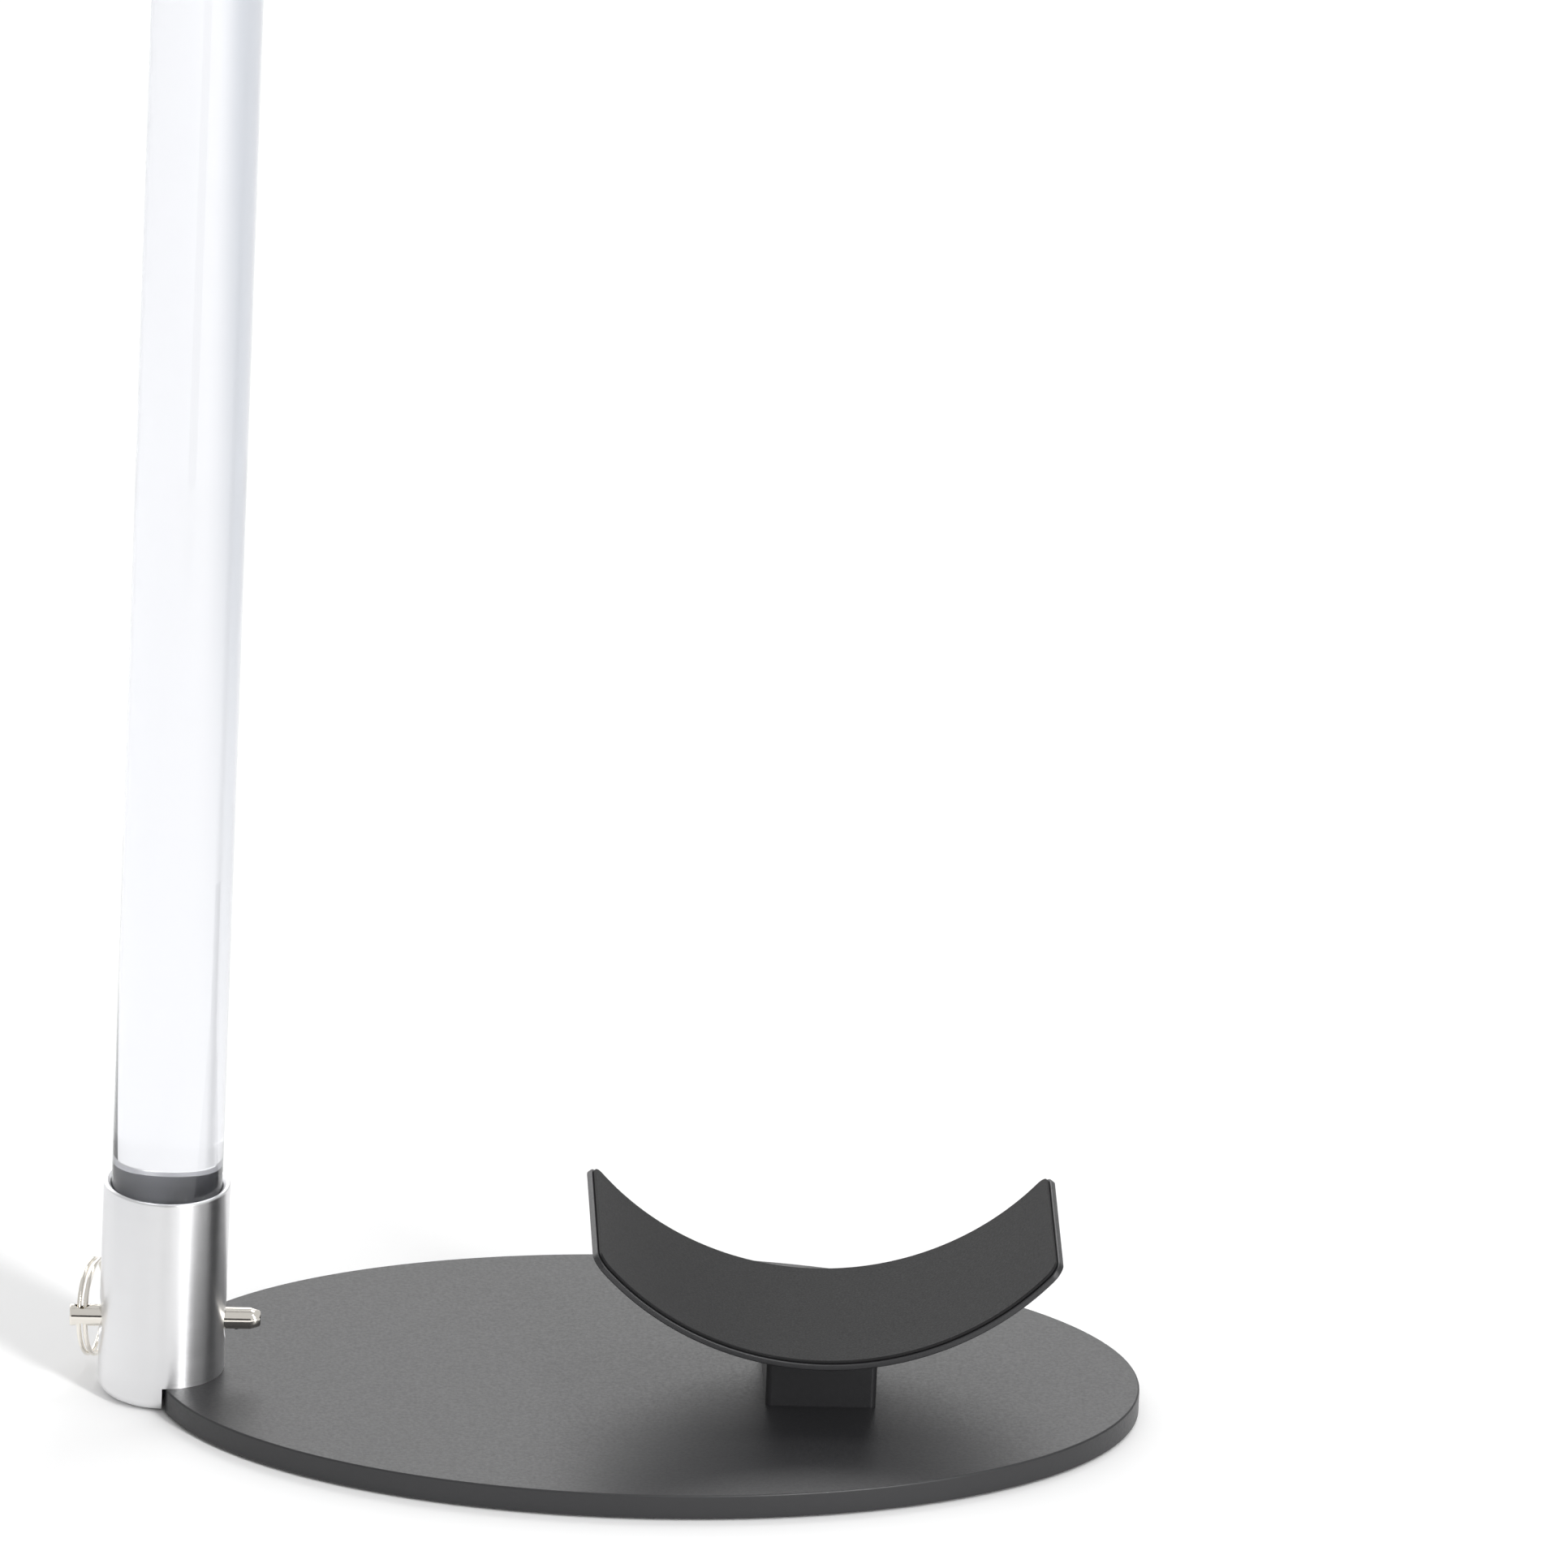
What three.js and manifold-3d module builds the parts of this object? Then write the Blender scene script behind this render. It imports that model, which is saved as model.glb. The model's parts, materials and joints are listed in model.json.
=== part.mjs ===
// A display stand for a tenor saxophone: an oval steel base, a clear post held in an aluminium
// socket by a quick-release pin, a curved cradle for the bow and a height-adjustable padded yoke.
// Millimetres. The origin is on the floor under the middle of the base, +X runs from the post
// towards the cradle, +Y to the back and +Z up.
import * as THREE from 'three';
import { mergeVertices } from 'three/addons/utils/BufferGeometryUtils.js';
import Module from 'manifold-3d';

const wasm = await Module();
wasm.setup();

// Base plate and the rubber pad under it.
const plateLength = 250;
const plateDepth = 150;
const plateThickness = 6.4;
const plateChamfer = 0.5;
const padThickness = 0.6;
const padInset = 1.5;
const padHoleMargin = 1.5;

// Clear post.
const rodDiameter = 28;
const rodLength = 540;
const rodFootChamfer = 1;
const rodTopChamfer = 1.5;

// Socket that holds the post. Its inner half stands on the plate and its outer half hangs
// down past a flat on the plate's edge, nearly to the floor.
const postInset = 2.2; // post axis in from the oval's end
const socketWall = 1.75;
const socketHeight = 50.5; // above the plate
const socketFloor = 4;
const socketClearance = 0.25; // round the post
const socketMouthChamfer = 0.8;
const socketRimChamfer = 0.5;
const socketFootChamfer = 3.2;
const lapGap = 1; // between the plate's flat and the socket's outer half
const lapFloorGap = 0.5;
const bumperThickness = 1;
const bumperInset = 0.6;
const socketScrewReach = 8;
const socketScrewSpacing = 14;

// Quick-release pin, with the eye for its ring and the pocket for its detent ball on one axis.
const pinDiameter = 5.5;
const pinHoleClearance = 0.25;
const pinHeight = 13; // above the plate
const pinHeadProud = 7.5;
const pinNoseProud = 8.7;
const pinHeadChamfer = 0.4;
const pinNoseLength = 2.6;
const pinNoseTaper = 0.7;
const pinTurn = THREE.MathUtils.degToRad(12.5);
const eyeFromEnd = 3.1;
const eyeDiameter = 4;
const ballDiameter = 2;
const ballProud = 0.2;
const ballFromNose = 6;
const ballClearance = 0.1;
const pocketRoof = 1.5; // roof of the ball's pocket, above the pin's axis
const detentWire = 0.3;
const detentTurns = 4;
const detentGap = 0.06;

// Split ring: two coils of wire that change layer opposite the eye.
const ringMeanDiameter = 24;
const ringWire = 1.2;
const ringLayerPitch = 1.7;
const ringStepAngle = THREE.MathUtils.degToRad(30);
const ringEndAngle = THREE.MathUtils.degToRad(38);
const ringSwing = THREE.MathUtils.degToRad(73); // from +X, about the eye

// Cradle: a curved strip with a thin liner, on a block.
const cradleX = 43.5;
const stripOuterRadius = 76;
const stripThickness = 1.6;
const stripWidth = 59;
const stripHalfAngle = THREE.MathUtils.degToRad(51.5);
const stripRise = 15; // underside of the strip above the plate
const stripCornerRadius = 4;
const linerThickness = 0.8;
const linerInset = 0.6;
const linerGap = 0.1;
const blockLength = 28;
const blockDepth = 36;
const blockChamfer = 1;
const seatGap = 0.3; // under the strip, on the block
const stripScrewSpacing = 22;
const blockScrewSpacing = 15;

// Countersunk screws with hexagon sockets: 'reach' is the length past the outer piece.
const screwClearance = 0.2;
const screwSunk = 0.1;
const screwTip = 0.5;
const socketScrew = { diameter: 4, head: 8, headHeight: 2, key: 2.5, keyDepth: 1.4, reach: 3.4 };
const blockScrew = { diameter: 4, head: 8, headHeight: 2, key: 2.5, keyDepth: 1.4, reach: 7 };
const stripScrew = { diameter: 3, head: 5.6, headHeight: 1.3, key: 2, keyDepth: 0.8, reach: 6.5 };

// Upper rest: a clamped collar, an arm that swivels on it and a padded yoke.
const restHeight = 470; // underside of the collar above the floor
const collarHeight = 24;
const collarWall = 5.6;
const collarChamfer = 1;
const bushWall = 2;
const bushFlange = 1.2;
const runningClearance = 0.2;
const bossDiameter = 16;
const bossLength = 10;
const padDiameter = 7.6;
const padLength = 4;
const clampTravel = 2;
const studDiameter = 6;
const knobGap = 2;
const knobDiameter = 30;
const knobLobes = 7;
const knobLobeDepth = 1.6;
const knobThickness = 14;
const knobChamfer = 1.2;
const knobWall = 4;
const armReach = 100; // post to the middle of the yoke
const armThickness = 5;
const armEndRadius = 10;
const armChamfer = 0.6;
const armClearance = 0.4;
const yokeSetback = 42; // pivot behind the middle of the yoke
const yokeRadius = 34;
const yokeRod = 8;
const prongLength = 30;
const yokeBossDiameter = 18;
const yokeBossLip = 2; // boss below the rod
const yokeArmGap = 1; // sleeves below the arm
const pivotDiameter = 6;
const pivotWasherDiameter = 13;
const pivotWasherThickness = 1.2;
const pivotHeadDiameter = 10.5;
const pivotHeadHeight = 3.3;
const pivotNutFlats = 10;
const pivotNutHeight = 6;
const pivotTail = 1.7;
const pivotKey = 4;
const pivotKeyDepth = 2;
const sleeveWall = 2.8;
const sleeveClearance = 0.2;
const sleeveAngle = THREE.MathUtils.degToRad(65);
const capDepth = 10;
const capDome = 4;
const capGap = 0.3;

// Smoothness.
const ovalSteps = 36;
const arcSteps = 14;
const bandSteps = 22;
const ringSteps = 60;
const yokeSteps = 34;
const rodSides = 40;
const pinSides = 20;
const screwSides = 16;
const wireSides = 6;
const tubeSides = 8;

// Places and sizes that follow from the ones above.
const plateTop = padThickness + plateThickness;
const postX = -plateLength / 2 + postInset;
const rodRadius = rodDiameter / 2;
const boreRadius = rodRadius + socketClearance;
const socketRadius = boreRadius + socketWall;
const rodFoot = socketFloor + bumperThickness; // above the plate
const pinRadius = pinDiameter / 2;
const crossHoleRadius = pinRadius + pinHoleClearance;
const pinHeadEnd = -socketRadius - pinHeadProud;
const pinNoseEnd = socketRadius + pinNoseProud;
const eyeX = pinHeadEnd + eyeFromEnd;
const ballX = pinNoseEnd - ballFromNose;
const ballRadius = ballDiameter / 2;
const ballHeight = -pinRadius - ballProud + ballRadius;
const stripInnerRadius = stripOuterRadius - stripThickness;
const linerInnerRadius = stripInnerRadius - linerThickness;
const cradleCentre = stripRise + stripOuterRadius; // centre of the curve above the plate
const collarBore = rodRadius + runningClearance * 2 + bushWall;
const collarRadius = collarBore + collarWall;
const clampAxis = collarHeight / 2;
const padTip = rodRadius + runningClearance;
const padSeat = padTip + padLength;
const counterboreEnd = padSeat + clampTravel + runningClearance * 2;
const bossEnd = collarRadius + bossLength;
const knobStart = bossEnd + knobGap;
const studEnd = knobStart + knobThickness - knobWall;
const armLength = Math.hypot(armReach, yokeSetback);
const armAngle = Math.atan2(yokeSetback, armReach);
const armFoot = collarHeight + bushFlange + runningClearance;
const pivotRadius = pivotDiameter / 2;
const yokeTop = -pivotWasherThickness - runningClearance;
const sleeveBore = yokeRod / 2 + sleeveClearance;
const sleeveRadius = sleeveBore + sleeveWall;
const yokeRodLevel = -sleeveRadius - yokeArmGap;
const yokeFoot = yokeRodLevel - yokeRod / 2 - yokeBossLip;

// --- Materials ---

const finish = (color, roughness, metalness, more = {}) =>
  new THREE.MeshStandardMaterial({ color, roughness, metalness, flatShading: true, ...more });
const blackPaint = () => finish(0x1d1d1f, 0.5, 0.3);
const blackRubber = () => finish(0x141414, 0.85, 0);
const blackAnodised = () => finish(0x18191b, 0.4, 0.7);
const blackNylon = () => finish(0x1a1a1a, 0.6, 0);
const satinAluminium = () => finish(0xd4d5d6, 0.32, 1);
const nickelSteel = () => finish(0xd9d7d0, 0.15, 1);
const zincSteel = () => finish(0xb4b6b8, 0.35, 1);
const springSteel = () => finish(0x9a9a9c, 0.3, 1);
const whiteNylon = () => finish(0xe8e6df, 0.5, 0);
const clearAcrylic = () => finish(0xf4f8fa, 0.03, 0, { transparent: true, opacity: 0.35 });

// --- Solids ---

const weldDistance = 1e-4;

// Welds the corners and drops the triangles that collapse at a pole.
function weld(geometry) {
  const bare = new THREE.BufferGeometry();
  bare.setAttribute('position', geometry.getAttribute('position').clone());
  if (geometry.index) bare.setIndex(geometry.index.clone());
  const merged = mergeVertices(bare, weldDistance);
  const corners = merged.index.array;
  const kept = [];
  for (let i = 0; i < corners.length; i += 3) {
    const [a, b, c] = [corners[i], corners[i + 1], corners[i + 2]];
    if (a !== b && b !== c && c !== a) kept.push(a, b, c);
  }
  merged.setIndex(kept);
  return merged;
}

// Welds a closed shell and turns its faces outwards.
function closed(geometry) {
  const shell = weld(geometry);
  const corners = Array.from(shell.index.array);
  const place = shell.getAttribute('position');
  const [a, b, c] = [new THREE.Vector3(), new THREE.Vector3(), new THREE.Vector3()];
  let volume = 0;
  for (let i = 0; i < corners.length; i += 3) {
    a.fromBufferAttribute(place, corners[i]);
    b.fromBufferAttribute(place, corners[i + 1]);
    c.fromBufferAttribute(place, corners[i + 2]);
    volume += a.dot(b.cross(c));
  }
  if (volume < 0) shell.setIndex(corners.reverse());
  return shell;
}

function toSolid(geometry) {
  const shell = closed(geometry);
  return new wasm.Manifold(new wasm.Mesh({
    numProp: 3,
    vertProperties: new Float32Array(shell.getAttribute('position').array),
    triVerts: new Uint32Array(shell.index.array),
  }));
}

function toGeometry(solid) {
  const mesh = solid.getMesh();
  const geometry = new THREE.BufferGeometry();
  geometry.setAttribute('position', new THREE.BufferAttribute(mesh.vertProperties, mesh.numProp));
  geometry.setIndex(new THREE.BufferAttribute(mesh.triVerts, 1));
  return geometry;
}

const cut = (body, ...tools) =>
  toGeometry(tools.reduce((solid, tool) => solid.subtract(toSolid(tool)), toSolid(body)));
const join = (body, ...others) =>
  toGeometry(others.reduce((solid, other) => solid.add(toSolid(other)), toSolid(body)));

// A profile of [radius, height] pairs turned about Z.
function turned(profile, sides) {
  const points = profile.map(([radius, height]) => new THREE.Vector2(radius, height));
  return new THREE.LatheGeometry(points, sides).rotateX(Math.PI / 2);
}

// A round bar on Z with chamfered ends.
function bar(radius, low, high, sides, chamferLow = 0, chamferHigh = 0) {
  return turned([
    [0, low],
    [radius - chamferLow, low],
    [radius, low + chamferLow],
    [radius, high - chamferHigh],
    [radius - chamferHigh, high],
    [0, high],
  ], sides);
}

// A round tube on Z with chamfered outer edges.
function tube(inner, outer, low, high, sides, chamfer = 0) {
  return turned([
    [inner, low],
    [outer - chamfer, low],
    [outer, low + chamfer],
    [outer, high - chamfer],
    [outer - chamfer, high],
    [inner, high],
    [inner, low],
  ], sides);
}

const hexagon = (flats, low, high) =>
  new THREE.CylinderGeometry(flats / Math.sqrt(3), flats / Math.sqrt(3), high - low, 6)
    .rotateX(Math.PI / 2).translate(0, 0, (low + high) / 2);

const block = (sizeX, sizeY, low, high) =>
  new THREE.BoxGeometry(sizeX, sizeY, high - low).translate(0, 0, (low + high) / 2);

// Turns a solid made along Z so that it lies along +X or -X.
const alongX = (geometry) => geometry.rotateY(Math.PI / 2);
const alongMinusX = (geometry) => geometry.rotateY(-Math.PI / 2);

// A flat outline raised from low to high, with chamfered edges that stay inside the outline.
function slab(outline, low, high, chamfer, curveSegments) {
  return new THREE.ExtrudeGeometry(outline, {
    depth: high - low - chamfer * 2,
    bevelEnabled: chamfer > 0,
    bevelThickness: chamfer,
    bevelSize: chamfer,
    bevelOffset: -chamfer,
    bevelSegments: 1,
    curveSegments,
  }).translate(0, 0, low + chamfer);
}

// A flat outline of lines and arcs, followed in space at Z = 0.
class FlatPath extends THREE.Curve {
  constructor(path) {
    super();
    this.path = path;
  }

  getPoint(t, target = new THREE.Vector3()) {
    const { x, y } = this.path.getPoint(t);
    return target.set(x, y, 0);
  }
}

function sweep(curve, radius, steps, sides, bore = 0) {
  const section = new THREE.Shape().absarc(0, 0, radius, 0, Math.PI * 2, false);
  if (bore > 0) section.holes.push(new THREE.Path().absarc(0, 0, bore, 0, Math.PI * 2, true));
  return new THREE.ExtrudeGeometry(section, { steps, extrudePath: curve, curveSegments: sides / 2 });
}

function addPiece(group, name, geometry, material) {
  const mesh = new THREE.Mesh(closed(geometry), material);
  mesh.geometry.computeVertexNormals();
  mesh.name = name;
  group.add(mesh);
  return mesh;
}

// --- Screws ---

// A countersunk screw pointing up, its head's face at z = 0, through a piece of a given thickness.
const screwDepth = ({ reach }, thickness) => thickness - screwSunk + reach;

function countersunkScrew(size, thickness) {
  const radius = size.diameter / 2;
  const depth = screwDepth(size, thickness);
  const body = turned([
    [0, 0],
    [size.head / 2, 0],
    [radius, size.headHeight],
    [radius, depth - screwTip],
    [radius - screwTip, depth],
    [0, depth],
  ], screwSides);
  return cut(body, hexagon(size.key, -1, size.keyDepth));
}

// The hole for one through the outer piece, whose face is at z = 0.
function countersunkHole(size, thickness) {
  const head = size.head / 2 + screwClearance;
  const shank = size.diameter / 2 + screwClearance;
  return turned([
    [0, -1],
    [head, -1],
    [head, screwSunk],
    [shank, screwSunk + size.headHeight],
    [shank, thickness + 1],
    [0, thickness + 1],
  ], screwSides);
}

const tappedHole = (size, low, high) =>
  bar(size.diameter / 2 + screwClearance, low, high, screwSides);

const socketScrews = [-1, 1].map((side) => ({
  size: socketScrew,
  x: postX + socketScrewReach,
  y: side * socketScrewSpacing / 2,
}));
const blockScrews = [-1, 1].map((side) => ({
  size: blockScrew,
  x: cradleX + side * blockScrewSpacing / 2,
  y: 0,
}));
const baseScrews = [...socketScrews, ...blockScrews];

// --- Base ---

// The oval with a flat across its post end.
function ovalOutline(inset) {
  const halfLength = plateLength / 2 - inset;
  const halfDepth = plateDepth / 2 - inset;
  const flat = postX + lapGap + inset;
  const turn = Math.acos(flat / halfLength);
  const outline = new THREE.Shape();
  outline.absellipse(0, 0, halfLength, halfDepth, -turn, turn, false, 0);
  outline.closePath();
  return outline;
}

function basePlate() {
  const oval = slab(ovalOutline(0), padThickness, plateTop, plateChamfer, ovalSteps);
  const holes = baseScrews.map(({ size, x, y }) =>
    countersunkHole(size, plateThickness).translate(x, y, padThickness));
  return cut(oval, ...holes);
}

function basePad() {
  const oval = slab(ovalOutline(padInset), 0, padThickness, 0, ovalSteps);
  const holes = baseScrews.map(({ size, x, y }) =>
    bar(size.head / 2 + padHoleMargin, -1, padThickness + 1, screwSides).translate(x, y, 0));
  return cut(oval, ...holes);
}

// --- Post and socket, from the plate's top face ---

function postSocket() {
  const low = lapFloorGap - plateTop;
  const body = turned([
    [0, low],
    [socketRadius - socketFootChamfer, low],
    [socketRadius, low + socketFootChamfer],
    [socketRadius, socketHeight - socketRimChamfer],
    [socketRadius - socketRimChamfer, socketHeight],
    [boreRadius + socketMouthChamfer, socketHeight],
    [boreRadius, socketHeight - socketMouthChamfer],
    [boreRadius, socketFloor],
    [0, socketFloor],
  ], rodSides);
  const step = block(socketRadius * 2, socketRadius * 4, low - 1, 0).translate(socketRadius, 0, 0);
  const reach = socketRadius * 2;
  const crossHole = alongX(bar(crossHoleRadius, -reach, reach, pinSides)).translate(0, 0, pinHeight);
  const screwHoles = socketScrews.map(({ size, x, y }) =>
    tappedHole(size, -1, socketFloor + 1).translate(x - postX, y, 0));
  return cut(body, step, crossHole, ...screwHoles);
}

function postRod() {
  const top = rodFoot + rodLength;
  const body = bar(rodRadius, rodFoot, top, rodSides, rodFootChamfer, rodTopChamfer);
  const reach = rodDiameter;
  return cut(body, alongX(bar(crossHoleRadius, -reach, reach, pinSides)).translate(0, 0, pinHeight));
}

// --- Release pin, about its own middle, along X, with its eye along Z ---

function releasePin() {
  const body = alongX(turned([
    [0, pinHeadEnd],
    [pinRadius - pinHeadChamfer, pinHeadEnd],
    [pinRadius, pinHeadEnd + pinHeadChamfer],
    [pinRadius, pinNoseEnd - pinNoseLength],
    [pinRadius - pinNoseTaper, pinNoseEnd],
    [0, pinNoseEnd],
  ], pinSides));
  const eye = bar(eyeDiameter / 2, -pinDiameter, pinDiameter, pinSides).translate(eyeX, 0, 0);
  const pocket = bar(ballRadius + ballClearance, -pinDiameter, pocketRoof, screwSides)
    .translate(ballX, 0, 0);
  return cut(body, eye, pocket);
}

class Helix extends THREE.Curve {
  constructor(radius, low, high, turns) {
    super();
    Object.assign(this, { radius, low, high, turns });
  }

  getPoint(t, target = new THREE.Vector3()) {
    const angle = t * this.turns * Math.PI * 2;
    const height = this.low + (this.high - this.low) * t;
    return target.set(this.radius * Math.cos(angle), this.radius * Math.sin(angle), height);
  }
}

function detentSpring() {
  const low = ballHeight + ballRadius + detentGap + detentWire / 2;
  const high = pocketRoof - detentGap - detentWire / 2;
  const coil = new Helix(ballRadius - detentWire, low, high, detentTurns);
  return sweep(coil, detentWire / 2, detentTurns * 8, wireSides).translate(ballX, 0, 0);
}

// Two turns in two layers. The wire changes layer at the far side, in the gap between its ends.
class RingCoil extends THREE.Curve {
  getPoint(t, target = new THREE.Vector3()) {
    const half = Math.PI * 2 - ringEndAngle;
    const angle = (t * 2 - 1) * half; // 0 at the change of layer
    const step = THREE.MathUtils.clamp(angle / ringStepAngle, -1, 1);
    const layer = Math.sin(step * Math.PI / 2) * ringLayerPitch / 2;
    const radius = ringMeanDiameter / 2;
    return target.set(radius + radius * Math.cos(angle), layer, radius * Math.sin(angle));
  }
}

const splitRing = () => sweep(new RingCoil(), ringWire / 2, ringSteps, wireSides);

// --- Cradle, from the plate's top face ---

// An arched band between two radii, centred on the strip's curve and lying across Y.
function archedBand(inner, outer, halfAngle, width) {
  const outline = new THREE.Shape();
  const middle = -Math.PI / 2;
  outline.absarc(0, 0, outer, middle - halfAngle, middle + halfAngle, false);
  outline.absarc(0, 0, inner, middle + halfAngle, middle - halfAngle, true);
  outline.closePath();
  return slab(outline, -width / 2, width / 2, 0, bandSteps)
    .rotateX(Math.PI / 2).translate(0, 0, cradleCentre);
}

// A band whose four corners are rounded, as seen square to its surface.
function roundedBand(inner, outer, inset) {
  const radius = stripCornerRadius - inset;
  const width = stripWidth - inset * 2;
  const halfAngle = stripHalfAngle - inset / stripOuterRadius;
  const band = archedBand(inner, outer, halfAngle, width);
  const corners = [];
  for (const end of [-1, 1]) {
    for (const side of [-1, 1]) {
      const tool = new THREE.Shape();
      tool.moveTo(radius + 1, -1);
      tool.lineTo(radius + 1, 0);
      tool.lineTo(radius, 0);
      tool.absarc(radius, radius, radius, -Math.PI / 2, -Math.PI, true);
      tool.lineTo(-1, radius);
      tool.lineTo(-1, -1);
      tool.closePath();
      const reach = outer - inner + 4;
      const corner = slab(tool, -reach, reach, 0, 5).scale(end > 0 ? -1 : 1, side > 0 ? -1 : 1, 1);
      corner.translate(0, side * width / 2, -outer);
      corners.push(corner.rotateY(-end * halfAngle).translate(0, 0, cradleCentre));
    }
  }
  return cut(band, ...corners);
}

function cradleStrip() {
  const band = roundedBand(stripInnerRadius, stripOuterRadius, 0);
  const face = cradleCentre - stripInnerRadius;
  const holes = [-1, 1].map((side) => countersunkHole(stripScrew, stripThickness)
    .rotateX(Math.PI).translate(0, side * stripScrewSpacing / 2, face));
  return cut(band, ...holes);
}

const cradleLiner = () =>
  roundedBand(linerInnerRadius, stripInnerRadius - linerGap, linerInset);

function cradleBlock() {
  const top = cradleCentre - stripOuterRadius * Math.cos(Math.asin(blockLength / 2 / stripOuterRadius));
  const halfX = blockLength / 2;
  const halfY = blockDepth / 2;
  const outline = new THREE.Shape();
  outline.moveTo(-halfX + blockChamfer, -halfY);
  outline.lineTo(halfX - blockChamfer, -halfY);
  outline.lineTo(halfX, -halfY + blockChamfer);
  outline.lineTo(halfX, halfY - blockChamfer);
  outline.lineTo(halfX - blockChamfer, halfY);
  outline.lineTo(-halfX + blockChamfer, halfY);
  outline.lineTo(-halfX, halfY - blockChamfer);
  outline.lineTo(-halfX, -halfY + blockChamfer);
  outline.closePath();
  const body = slab(outline, 0, top, 0, 1);
  const seat = archedBand(1, stripOuterRadius + seatGap, Math.PI / 4, blockDepth * 2);
  const below = blockScrews.map(({ size, x }) =>
    tappedHole(size, -1, size.reach + 1).translate(x - cradleX, 0, 0));
  const tip = cradleCentre - stripOuterRadius - stripScrew.reach;
  const above = [-1, 1].map((side) =>
    tappedHole(stripScrew, tip - 1, cradleCentre).translate(0, side * stripScrewSpacing / 2, 0));
  return cut(body, seat, ...below, ...above);
}

// --- Upper rest, from the collar's underside on the post's axis ---

function heightCollar() {
  const ring = tube(collarBore, collarRadius, 0, collarHeight, rodSides, collarChamfer);
  const boss = alongMinusX(bar(bossDiameter / 2, collarBore + collarWall / 2, bossEnd, 24, 0,
    collarChamfer)).translate(0, 0, clampAxis);
  const counterbore = alongMinusX(bar(padDiameter / 2 + runningClearance, 0, counterboreEnd, pinSides))
    .translate(0, 0, clampAxis);
  const thread = alongMinusX(bar(studDiameter / 2 + runningClearance, 0, bossEnd + 1, pinSides))
    .translate(0, 0, clampAxis);
  return cut(join(ring, boss), counterbore, thread);
}

// A flanged nylon sleeve, slotted where the pressure pad passes through it.
function collarBush() {
  const inner = rodRadius + runningClearance;
  const outer = inner + bushWall;
  const sleeve = turned([
    [inner, 0],
    [outer, 0],
    [outer, collarHeight],
    [collarRadius, collarHeight],
    [collarRadius, collarHeight + bushFlange],
    [inner, collarHeight + bushFlange],
    [inner, 0],
  ], rodSides);
  const slot = block(collarRadius * 2, padDiameter + 1.4, -1, collarHeight + bushFlange + 1);
  return cut(sleeve, slot.translate(-collarRadius, 0, 0));
}

const pressurePad = () =>
  alongMinusX(bar(padDiameter / 2, padTip, padSeat, pinSides, 0.4, 0)).translate(0, 0, clampAxis);

const clampStud = () =>
  alongMinusX(bar(studDiameter / 2, padSeat + runningClearance, studEnd, pinSides, 0.6, 0))
    .translate(0, 0, clampAxis);

function clampKnob() {
  const outline = new THREE.Shape();
  const steps = knobLobes * 8;
  for (let i = 0; i < steps; i += 1) {
    const angle = i / steps * Math.PI * 2;
    const radius = knobDiameter / 2 - knobLobeDepth * (0.5 - 0.5 * Math.cos(angle * knobLobes));
    const [x, y] = [radius * Math.cos(angle), radius * Math.sin(angle)];
    if (i === 0) outline.moveTo(x, y);
    else outline.lineTo(x, y);
  }
  outline.closePath();
  const body = slab(outline, knobStart, knobStart + knobThickness, knobChamfer, 1);
  const hole = bar(studDiameter / 2 + runningClearance, knobStart - 1, studEnd + 0.3, pinSides);
  return alongMinusX(cut(body, hole)).translate(0, 0, clampAxis);
}

// The arm, from its foot: an eye round the post tapering to the yoke's pivot.
function swivelArm() {
  const taper = Math.asin((collarRadius - armEndRadius) / armLength);
  const tangent = Math.PI / 2 - taper;
  const outline = new THREE.Shape();
  outline.absarc(0, 0, collarRadius, tangent, -tangent + Math.PI * 2, false);
  outline.absarc(armLength, 0, armEndRadius, -tangent, tangent, false);
  outline.closePath();
  const body = slab(outline, 0, armThickness, armChamfer, arcSteps);
  const eye = bar(rodRadius + armClearance, -1, armThickness + 1, rodSides);
  const pivotHole = bar(pivotRadius + runningClearance, -1, armThickness + 1, pinSides);
  return cut(body, eye, pivotHole.translate(armLength, 0, 0));
}

const pivotWasher = (low) => tube(pivotRadius + runningClearance, pivotWasherDiameter / 2, low,
  low + pivotWasherThickness, 24);

const lowerWasherFoot = yokeFoot - runningClearance - pivotWasherThickness;
const nutFoot = lowerWasherFoot - pivotNutHeight;
const pivotHeadFoot = armThickness + pivotWasherThickness;

function pivotScrew() {
  const top = pivotHeadFoot + pivotHeadHeight;
  const headRadius = pivotHeadDiameter / 2;
  const body = turned([
    [0, nutFoot - pivotTail],
    [pivotRadius - 0.6, nutFoot - pivotTail],
    [pivotRadius, nutFoot - pivotTail + 0.6],
    [pivotRadius, pivotHeadFoot],
    [headRadius, pivotHeadFoot],
    [headRadius, pivotHeadFoot + 0.8],
    [headRadius * 0.88, pivotHeadFoot + 2],
    [headRadius * 0.62, top],
    [0, top],
  ], pinSides);
  return cut(body, hexagon(pivotKey, top - pivotKeyDepth, top + 1));
}

const pivotNut = () => cut(hexagon(pivotNutFlats, nutFoot, lowerWasherFoot),
  bar(pivotRadius + runningClearance, nutFoot - 1, lowerWasherFoot + 1, pinSides));

// --- Yoke, about its pivot, open towards -Y ---

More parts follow.
